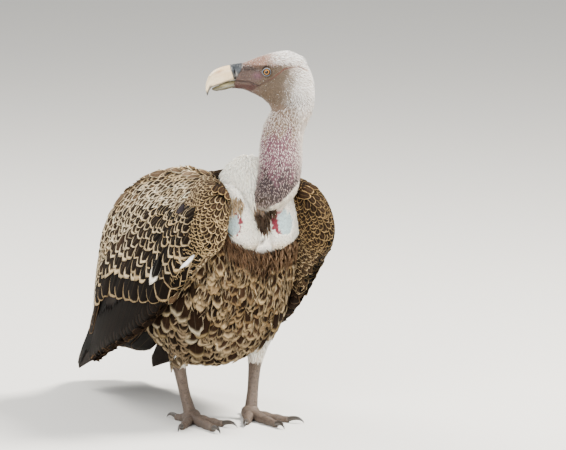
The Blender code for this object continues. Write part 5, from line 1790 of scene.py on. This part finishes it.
places = roots_round(right_pad, (1.3, 1.45, 1.6, 1.75, 1.9), 0.0019, 517, 0.3)
point = right_pad(*places.T)
places = places[(point[:, 0] > -0.052) & (point[:, 0] < -0.031) & (point[:, 1] < -0.09)]
count = len(places)
core = blend(colour("#5f3d22"), colour("#c9a77c"), chance.uniform(0, 1, count) ** 1.2)
looks = looks_of(count, core, blend(core, CREAM, 0.5), (0.5, 2.5), 0.25, 518)
lay_feathers(strands, right_pad, places, unwrap(places) + (0, 0.4), body_lie, 0.015, 0.0019, looks, 519,
             yaw=chance.normal(0, 14, count), facing=-1, lift=0.001, rise=0.004, **STRAND)
strands.piece("crop_feathers", feather_material, "body_feathers")

# %% [markdown]
# ## Down
# Down is a cloud of soft barbs without a stiff shaft. One tuft is a thin bent cone with three sides, which
# stands up at its root and then follows the lie of the coat. Thousands of them, each a little different,
# give the ruff, the pads and the thighs a soft edge. On the head and neck they are short and sparse, and
# the skin shows between them.

# %% Tufts, and the down material
TUFT_FACES = np.array([(4, 1, 0), (3, 4, 0), (5, 2, 1), (4, 5, 1), (3, 0, 2), (5, 3, 2), (6, 4, 3), (6, 5, 4),
                       (6, 3, 5), (1, 2, 0)])


def add_tufts(coat, surface, places, unwrap, lie, length, width, tint, seed, stand=0.5, sink=0.0, facing=1,
              tip_tint=1.12, root_tint=0.72, spread=0.10, wild=0.18):
    """Tufts at the places: root + normal * stand * (v - v^2 / 3) + way * (0.4 v + 0.6 v^2), times length.

    stand is how much they rise; wild turns each by chance; sink moves the roots into the skin.
    """
    chance = np.random.default_rng(seed)
    count = len(places)
    point, _, _, normal = slopes(surface, places)
    normal = normal * facing
    way = in_plane(lie(point) + wild * chance.normal(size=(count, 3)), normal)
    stand = np.broadcast_to(stand, count)[:, None] * (1 + 0.25 * chance.normal(size=(count, 1)))
    length = (np.broadcast_to(length, count) * chance.uniform(0.75, 1.25, count))[:, None]
    root = point + normal * (np.broadcast_to(relief_at(point) if sink is None else -sink, count))[:, None]
    side = np.cross(way, normal)
    rings = []
    for v, size in ((0.0, 1.0), (0.5, 0.72)):
        middle = root + normal * length * stand * (v - v**2 / 3) + way * length * (0.4 * v + 0.6 * v**2)
        for corner in range(3):
            angle = corner * 2 * math.pi / 3 + 0.5
            across = side * math.cos(angle) + np.cross(side, way) * math.sin(angle)
            rings.append(middle + across * (0.5 * np.broadcast_to(width, count)[:, None] * size))
    rings.append(root + normal * length * stand * (2 / 3) + way * length)
    points = np.stack(rings, 1)
    # painted shade: each tuft is darker at its root, down among the others; its tip is a little lighter
    shade = np.array([root_tint] * 3 + [1.0] * 3 + [tip_tint])[None, :, None]
    tint = np.broadcast_to(tint, (count, 3))[:, None] * np.exp(spread
                                                               * chance.normal(size=(count, 1, 1))) * shade
    flat = np.array([(0, 0), (1, 0), (0.5, 0), (0.2, 0.5), (0.8, 0.5), (0.5, 0.5), (0.5, 1)])[None]
    flat = np.broadcast_to(flat, (count, 7, 2))
    faces = TUFT_FACES[None] + (7 * np.arange(count))[:, None, None]
    coat.take(points, faces.reshape(-1, 3), {"OFBake": bake_patch(flat, unwrap, 0.003)},
              {"tint": np.clip(tint, 0, 0.95)})


def relief_at(points):
    """How far the finished skin of the head and neck lies from the plain loft, in metres."""
    return face_relief(points) * MM - coat_depth(points)


down_material = grained_material("soft down", 0.95, (0.07, 8.0, 8.0), Specular_ior_level=0.05,
                                 Sheen_weight=0.25, Sheen_roughness=0.6, Subsurface_weight=0.25,
                                 Subsurface_radius=(1.0, 0.9, 0.8), Subsurface_scale=0.002)


def falling(point):
    """Straight down, a little outwards."""
    return np.broadcast_to([0.0, -0.15, -1.0], point.shape)


# %% The ruff: a smooth white dome of down behind the neck
def ruff_coat(station, turn):
    return level_point(RUFF, station, turn, 0.0075)


ruff = Coat()
stations = stations_apart(ruff_coat, 0.0, 0.05, 4.85, 0.0027)
places = roots_round(ruff_coat, stations, 0.0027, 601, 0.35)
point = ruff_coat(*places.T)
free = neck_share(point) < 0.5
places, point = places[free], point[free]


def ruff_lie(point):
    """Away from the top of the dome and down."""
    away = point - np.array([0.004, -0.078, 0.43])
    return away * (1, 1, 0.2) + np.array([0.0, -0.004, -0.030])


tint = blend(colour("#faf1de"), colour("#e6d4b4"), 0.5 * smooth(point[:, 2], 0.37, 0.345))
crop = in_hollow(point) * smooth(point[:, 1], -0.085, -0.095) * smooth(point[:, 2], 0.385, 0.370)
tint = blend(tint, blend(colour("#3b291b"), colour("#7d6045"), chance.uniform(0, 1, len(point))), crop)
add_tufts(ruff, ruff_coat, places, tube_unwrap(5.0)(places), ruff_lie, 0.0105, 0.0031, tint, 602, stand=0.34,
          facing=-1, spread=0.03, wild=0.010, root_tint=0.90, tip_tint=1.02)
ruff.piece("ruff_down", down_material, "white_down")

# %% The breast pads: short white down with a bare patch on each
pads = Coat()
for side in (1, -1):
    def pad_coat(station, turn):
        return pad_point(station, turn, 0.0040, side)

    stations = stations_apart(pad_coat, LOWEST, 0.32, 4.85, 0.0026)
    places = roots_round(pad_coat, stations, 0.0028, 611, 0.35)
    point = pad_coat(*places.T)
    patch, rim = pad_patch(point, side)
    behind = point[:, 1] > -0.085
    bare = np.maximum(np.maximum(patch, rim), in_hollow(point)) > 0.5
    # no down along the cleft, so that the painted shade of the dark skin shows there
    parting = (off_cleft(point) < 0.0014) & (point[:, 2] > 0.304)
    free = (neck_share(point) < 0.5) & ~behind & ~bare & ~parting
    places, point = places[free], point[free]
    places_unwrap = tube_unwrap(5.0)(places) * (0.46, 1) + (0.02 if side > 0 else 0.52, 0)
    edge = smooth(point[:, 2], 0.305, 0.292)
    tint = blend(colour("#f8efdf"), colour("#d9bf98"), 0.7 * edge)
    add_tufts(pads, pad_coat, places, places_unwrap, falling, 0.0068 - 0.0030 * edge, 0.0020, tint, 612,
              stand=0.42, facing=side, spread=0.06, wild=0.25, root_tint=0.80, tip_tint=1.05)
pads.piece("breast_down", down_material, "white_down")

# %% Thighs: brown feathers above, white down round the ankle
thighs, legs = Coat(), Coat()
for side in (1, -1):
    def thigh_coat(station, turn):
        return level_point(THIGH, station, turn, 0.0030, side)

    def leg_lie(point):
        return np.broadcast_to([0.10 * side, 0.25, -1.0], point.shape)

    half = 0.02 if side > 0 else 0.52
    stations = stations_apart(thigh_coat, 0.0, 3.2 if side < 0 else 1.7, 0.1, 0.0125)
    places = roots_round(thigh_coat, stations, 0.0140, 621, 0.2)
    count = len(places)
    point = thigh_coat(*places.T)
    pale = smooth(point[:, 2], 0.122, 0.104)
    core = blend(colour("#150e08"), colour("#7a684f"), pale)
    fringe = blend(colour("#86735a"), colour("#c9bb9f"), pale)
    looks = looks_of(count, core, fringe, (1.5, 4.5), 0.2, 622)
    lay_feathers(thighs, thigh_coat, places, tube_unwrap(5.0)(places) * (0.46, 1) + (half, 0), leg_lie,
                 0.031 * chance.uniform(0.85, 1.15, count), 0.0200, looks, 623,
                 yaw=chance.normal(0, 8, count), patch=0.009, facing=side, rows=7, columns=5, taper=0.3,
                 lift=0.0, rise=0.0040, droop=0.12, ragged=0.06)
    stations = stations_apart(thigh_coat, 0.0, 1.3 if side > 0 else 3.1, 4.97, 0.0030)
    places = roots_round(thigh_coat, stations, 0.0029, 624, 0.35)
    point = thigh_coat(*places.T)
    low = smooth(point[:, 2], 0.100, 0.088)
    tint = blend(colour("#efe9de"), colour("#b9a990"), 0.35 * low)
    add_tufts(legs, thigh_coat, places, tube_unwrap(5.0)(places) * (0.46, 1) + (half, 0), leg_lie,
              0.0080 - 0.0025 * low, 0.0022, tint, 625, stand=0.40 - 0.2 * low, facing=side, spread=0.08,
              wild=0.22)
thighs.piece("thigh_feathers", soft_material, "body_feathers")
legs.piece("ankle_down", down_material, "white_down")

# %% [markdown]
# ## Neck and head down
# On the neck the down grows in short white dashes, in rows about 3 mm apart, over mauve skin. On the
# crown and the nape it is longer, paler and closes to a soft fur, and on the cheeks it thins out to fine
# brown bristles. The smallest of all stand round the eye and on the lores.

# %% Tufts of the neck and the head
def neck_lie(point):
    """Backwards over the head, then down the neck."""
    forward, _, up = head_measure(point)
    down = smooth(up - 0.5 * forward, 20, -30)
    return -FACE * (1 - down)[:, None] - UP * (0.15 + down)[:, None]


head_down, neck_down = Coat(), Coat()
unwrap = tube_unwrap(14.0)
chance = np.random.default_rng(700)


def sow_neck(coat, first, last, gap, seed, keep, length, width, tint, **shape):
    """Tufts on the head or neck between two stations; keep, length, width and tint take head measures."""
    stations = stations_apart(neck_point, 0.6, first, last, gap)
    places = roots_round(neck_point, stations, gap, seed, 0.30)
    point = neck_point(*places.T)
    measures = head_measure(point)
    kept = np.random.default_rng(seed + 1).uniform(size=len(places)) < keep(point, *measures)
    places, point = places[kept], point[kept]
    measures = head_measure(point)
    add_tufts(coat, neck_point, places, unwrap(places), neck_lie, length(point, *measures),
              width(point, *measures), tint(point, *measures), seed + 2, sink=None, **shape)


def pale_share(forward, up):
    """1 where the down is white: the rear crown and the nape."""
    crown = smooth(up, 5, 17) * smooth(forward, 10, -22)
    nape = smooth(forward + 0.15 * up, -22, -60) * smooth(up, -150, -30)
    return np.maximum(crown, nape)


def gape_free(forward, left, up):
    """0 on the bare places: round the eye, on the gape, in the maroon skin, along the crease."""
    bare = smooth(np.hypot(forward, up), 8.5, 11.0)
    bare = bare * smooth(line_distance(forward, up, GAPE), 1.5, 3.0)
    bare = bare * smooth(line_distance(forward, up, CREASE), 0.8, 1.8)
    bare = bare * smooth(line_distance(forward, up, MAROON_PATCH), 3.5, 5.5)
    return np.maximum(bare, smooth(np.abs(left), 5, 2) * smooth(up, 0, 5))


sow_neck(
    neck_down, 6.9, 13.7, 0.00275, 710,
    lambda p, f, l, u: (0.85 - 0.25 * smooth(u, -135, -175)) * smooth(u, -40, -80) * (1 - below_neck(p)),
    lambda p, f, l, u: (0.0032 + 0.0016 * smooth(f, -40, -52)) + 0.0010 * smooth(u, -60, -40),
    lambda p, f, l, u: 0.00125 + 0 * f,
    lambda p, f, l, u: blend(colour("#d2c5b9"), colour("#7c6159"), 0.85 * smooth(u, -120, -172)),
    stand=0.75, spread=0.18, wild=0.22, root_tint=0.80)
sow_neck(
    neck_down, 11.0, 13.95, 0.0022, 720,
    lambda p, f, l, u: below_neck(p),
    lambda p, f, l, u: 0.0055 + 0 * f,
    lambda p, f, l, u: 0.0018 + 0 * f,
    lambda p, f, l, u: blend(blend(colour("#efe5d3"), colour("#b59a78"), 0.5 * chance.uniform(size=len(f))),
                             colour("#4d3724"), over_hollow(p) * chance.uniform(0.6, 1.0, len(f))),
    stand=0.55, spread=0.12, wild=0.25)
sow_neck(
    head_down, 1.2, 9.0, 0.00175, 730,
    lambda p, f, l, u: gape_free(f, l, u) * (0.45 + 0.5 * pale_share(f, u)) * smooth(u, -78, -50),
    lambda p, f, l, u: 0.0016 + 0.0026 * pale_share(f, u) + 0.0034 * pale_share(f, u) * smooth(u, 8, 20),
    lambda p, f, l, u: 0.00045 + 0.00035 * pale_share(f, u),
    lambda p, f, l, u: blend(blend(colour("#6a5440"), colour("#957463"), smooth(u + 0.15 * f, 4, 13)),
                             colour("#efeae2"),
                             smooth(pale_share(f, u) + 0.3 * chance.normal(size=len(f)), 0.25, 0.75)),
    stand=0.48, spread=0.20, wild=0.32, root_tint=0.7)
sow_neck(
    head_down, 0.25, 3.5, 0.0013, 740,
    lambda p, f, l, u: gape_free(f, l, u) * 0.5,
    lambda p, f, l, u: 0.0011 + 0 * f,
    lambda p, f, l, u: 0.00032 + 0 * f,
    lambda p, f, l, u: blend(colour("#6b5646"), colour("#c9bdb0"), smooth(u, 4, 12)),
    stand=0.35, spread=0.25, wild=0.3)
neck_down.piece("neck_down", down_material, "white_down")
head_down.piece("head_down", down_material, "white_down")

# %% [markdown]
# ## Tail and back
# The tail is a short fan of twelve stiff dark feathers, folded so far that they overlap like cards. Brown
# coverts hide its root above and below, and long loose scapulars lie over the gap between each wing and
# the back.

# %% Tail feathers on an arched sheet
TAIL_ROOT, TAIL_TIP = (0.232, 0.168), (0.470, 0.040)  # y, z
TAIL_HALF_WIDTH = 0.053


def tail_sheet(across, along):
    """A sheet from the rump to the tail's end: it widens, then keeps its width, arched over the middle."""
    width = TAIL_HALF_WIDTH * np.clip(0.50 + 0.67 * along, 0, 1)
    y = TAIL_ROOT[0] + (TAIL_TIP[0] - TAIL_ROOT[0]) * along
    z = TAIL_ROOT[1] + (TAIL_TIP[1] - TAIL_ROOT[1]) * along + 0.014 * (1 - across**2) * (0.4 + 0.6 * along)
    return np.stack([width * across, y, z], axis=-1)


def tail_unwrap(places):
    return np.stack([0.5 + 0.45 * places[:, 0], 0.05 + 0.9 * places[:, 1]], -1)


def rearwards(point):
    return np.stack([0.9 * point[:, 0], 0 * point[:, 0] + 1, 0 * point[:, 0] - 0.35], -1)


tail = Coat()
k = np.arange(12)
order = np.array([0, 11, 1, 10, 2, 9, 3, 8, 4, 7, 5, 6])
across = -0.86 + 1.72 * order / 11
places = np.stack([across, 0.995 - 0.065 * across**2], -1)
looks = looks_of(12, blend(BLACK, DARK, 0.4), colour("#57442f"), (1.4, 2.6), 0.10, 801)
lay_feathers(tail, tail_sheet, places, tail_unwrap(places), rearwards, 0.225, 0.034, looks, 802,
             patch=(0.06, 0.5), facing=1, steps=14, tips=True, rows=18, columns=7, taper=0.08, point=2.6,
             lift=-0.003 + 0.00045 * k, rise=0.0005, droop=0.04, ragged=0.012, base=0.5)
for below, seed in ((False, 803), (True, 804)):
    stations = np.arange(0.50, 0.02, -0.055)
    lines = [((-0.98, along), (0.98, along)) for along in stations]
    places = roots_on(tail_sheet, lines, [0.013] * len(lines), seed, 0.2)
    places = places + (0, -0.06)
    count = len(places)
    tone = blend(colour("#1f150e"), colour("#3a2a1d"), chance.uniform(size=count))
    pale = blend(colour("#6d563c"), colour("#a58e6b"), chance.uniform(size=count))
    looks = looks_of(count, tone, pale, (2.0, 4.0), 0.15, seed)
    lay_feathers(tail, tail_sheet, places, tail_unwrap(places), rearwards, 0.048, 0.019, looks, seed + 5,
                 yaw=chance.normal(0, 6, count), patch=0.02, facing=-1 if below else 1, rows=8,
                 columns=5, taper=0.3, lift=0.004, rise=0.004, droop=0.1, ragged=0.05)
tail.piece("tail_feathers", flight_material, "flight_feathers", ["tail"])

# %% Scapulars over the gap between each wing and the back
scapulars = Coat()
for side, shift, seed in ((1, LEFT_WING_SHIFT, 821), (-1, 0 * LEFT_WING_SHIFT, 822)):
    def shoulder(station, turn):
        return wing_point(station, turn, 0.0020) + shift

    def scapular_lie(point):
        return np.broadcast_to([-0.10, 1.0, -0.42], point.shape)

    stations = stations_apart(shoulder, 1.8, 6.3, 2.0, 0.015)
    places = roots_round(shoulder, stations, 0.0105, seed, 0.25, 1.25, 2.7)
    count = len(places)
    grow = smooth(places[:, 0], 2.0, 4.5)
    core = blend(colour("#4c3a29"), colour("#6e5a45"), chance.uniform(size=count))
    looks = looks_of(count, core, blend(BUFF, CREAM, chance.uniform(size=count)), (1.6, 2.6), 0.15, seed + 4)
    lay_feathers(scapulars, shoulder, places, np.stack([0.05 + 0.13 * places[:, 0],
                                                        0.5 + 0.15 * places[:, 1] * side], -1),
                 scapular_lie, 0.028 + 0.030 * grow, 0.0115 + 0.005 * grow, looks, seed + 8,
                 yaw=chance.normal(0, 7, count), patch=0.012, side=side, rows=9, columns=5, taper=0.35,
                 point=1.6, lift=0.002, rise=0.004, droop=0.1, ragged=0.04)
    count = 7
    places = np.stack([np.linspace(3.0, 4.6, count), np.linspace(1.5, 1.75, count)], -1)
    looks = looks_of(count, colour("#57452f"), colour("#d8c6a3"), (1.8, 3.0), 0.1, seed + 12)
    lay_feathers(scapulars, shoulder, places, np.stack([0.9 + 0 * places[:, 0],
                                                        0.5 + 0.3 * side * np.arange(count) / 7], -1),
                 scapular_lie, 0.075, 0.015, looks, seed + 16, yaw=chance.normal(4, 4, count), patch=0.012,
                 side=side, rows=12, columns=5, taper=0.3, point=1.6, lift=0.005, rise=0.0075, droop=0.1,
                 ragged=0.03)
scapulars.piece("scapular_feathers", feather_material, "body_feathers")

# %% [markdown]
# ## Floor, light and camera
# The bird stands on a plain pale floor under soft studio light: a large lamp high on its left and a little
# in front, a weaker one from the front on its right, and one from behind on its right.
# The camera is far away with a long lens, as for a shy animal.

# %% The studio
def area_light(name, place, aim, size, power, tone):
    lamp = bpy.data.lights.new(name, "AREA")
    lamp.shape, lamp.size, lamp.energy, lamp.color = "DISK", size, power, tone
    light = bpy.data.objects.new(name, lamp)
    light.location = place
    light.rotation_euler = (Vector(aim) - Vector(place)).to_track_quat("-Z", "Y").to_euler()
    bpy.context.scene.collection.objects.link(light)


area_light("key", (1.7, -0.9, 2.8), (0, 0, 0.3), 1.2, 410, (1.0, 0.965, 0.91))
area_light("fill", (-1.9, -2.6, 1.5), (0, 0, 0.3), 2.2, 185, (0.95, 0.97, 1.0))
area_light("back", (-0.9, 2.4, 2.2), (0, 0, 0.3), 1.6, 125, (1.0, 0.98, 0.95))

world = bpy.data.worlds.new("studio air")
bpy.context.scene.world = world
world.use_nodes = True
air = world.node_tree.nodes["Background"]
air.inputs["Color"].default_value = (0.80, 0.82, 0.84, 1.0)
air.inputs["Strength"].default_value = 0.85

floor_material, tree, shader = start_material("pale matt paper", 0.9)
shader.inputs["Base Color"].default_value = linear("#d8d5ce")
reach = 6.0
floor_points = np.array([(-reach, -reach, 0), (reach, -reach, 0), (reach, reach, 0), (-reach, reach, 0)])
floor_mesh = make_mesh("floor", floor_points - STEP * (1, 1, 0), [(0, 1, 2, 3)])
floor_mesh.materials.append(floor_material)
floor = bpy.data.objects.new("floor", floor_mesh)
bpy.context.scene.collection.objects.link(floor)
floor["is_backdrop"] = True

# %% The camera
AZIMUTH, ELEVATION, DISTANCE = math.radians(-24), math.radians(8), 20.0
WIDTH_AT_BIRD = 0.8773  # how much the view spans at the bird, in metres
back = np.array([math.sin(AZIMUTH) * math.cos(ELEVATION), -math.cos(AZIMUTH) * math.cos(ELEVATION),
                 math.sin(ELEVATION)])
right = np.array([math.cos(AZIMUTH), math.sin(AZIMUTH), 0.0])
rise = np.cross(back, right)
target = right * 0.088 + rise * 0.307 + STEP
lens = bpy.data.cameras.new("long lens")
lens.sensor_width, lens.lens = 36.0, 36.0 * DISTANCE / WIDTH_AT_BIRD
lens.clip_start, lens.clip_end = 0.5, 60.0
camera = bpy.data.objects.new("camera", lens)
camera.location = Vector(target + back * DISTANCE)
camera.rotation_euler = Vector(-back).to_track_quat("-Z", "Y").to_euler()
bpy.context.scene.collection.objects.link(camera)
bpy.context.scene.camera = camera
print("lens", round(lens.lens), "mm; camera at", [round(c, 2) for c in camera.location])

# %% The size of the finished bird beside its frame
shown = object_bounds()
for axis, letter in enumerate("XYZ"):
    low, high = (shown[0][axis] - cad_box[0][axis]) / MM, (shown[1][axis] - cad_box[1][axis]) / MM
    print(f"{letter}: lower end {low:.1f} mm and upper end {high:.1f} mm from the frame's")
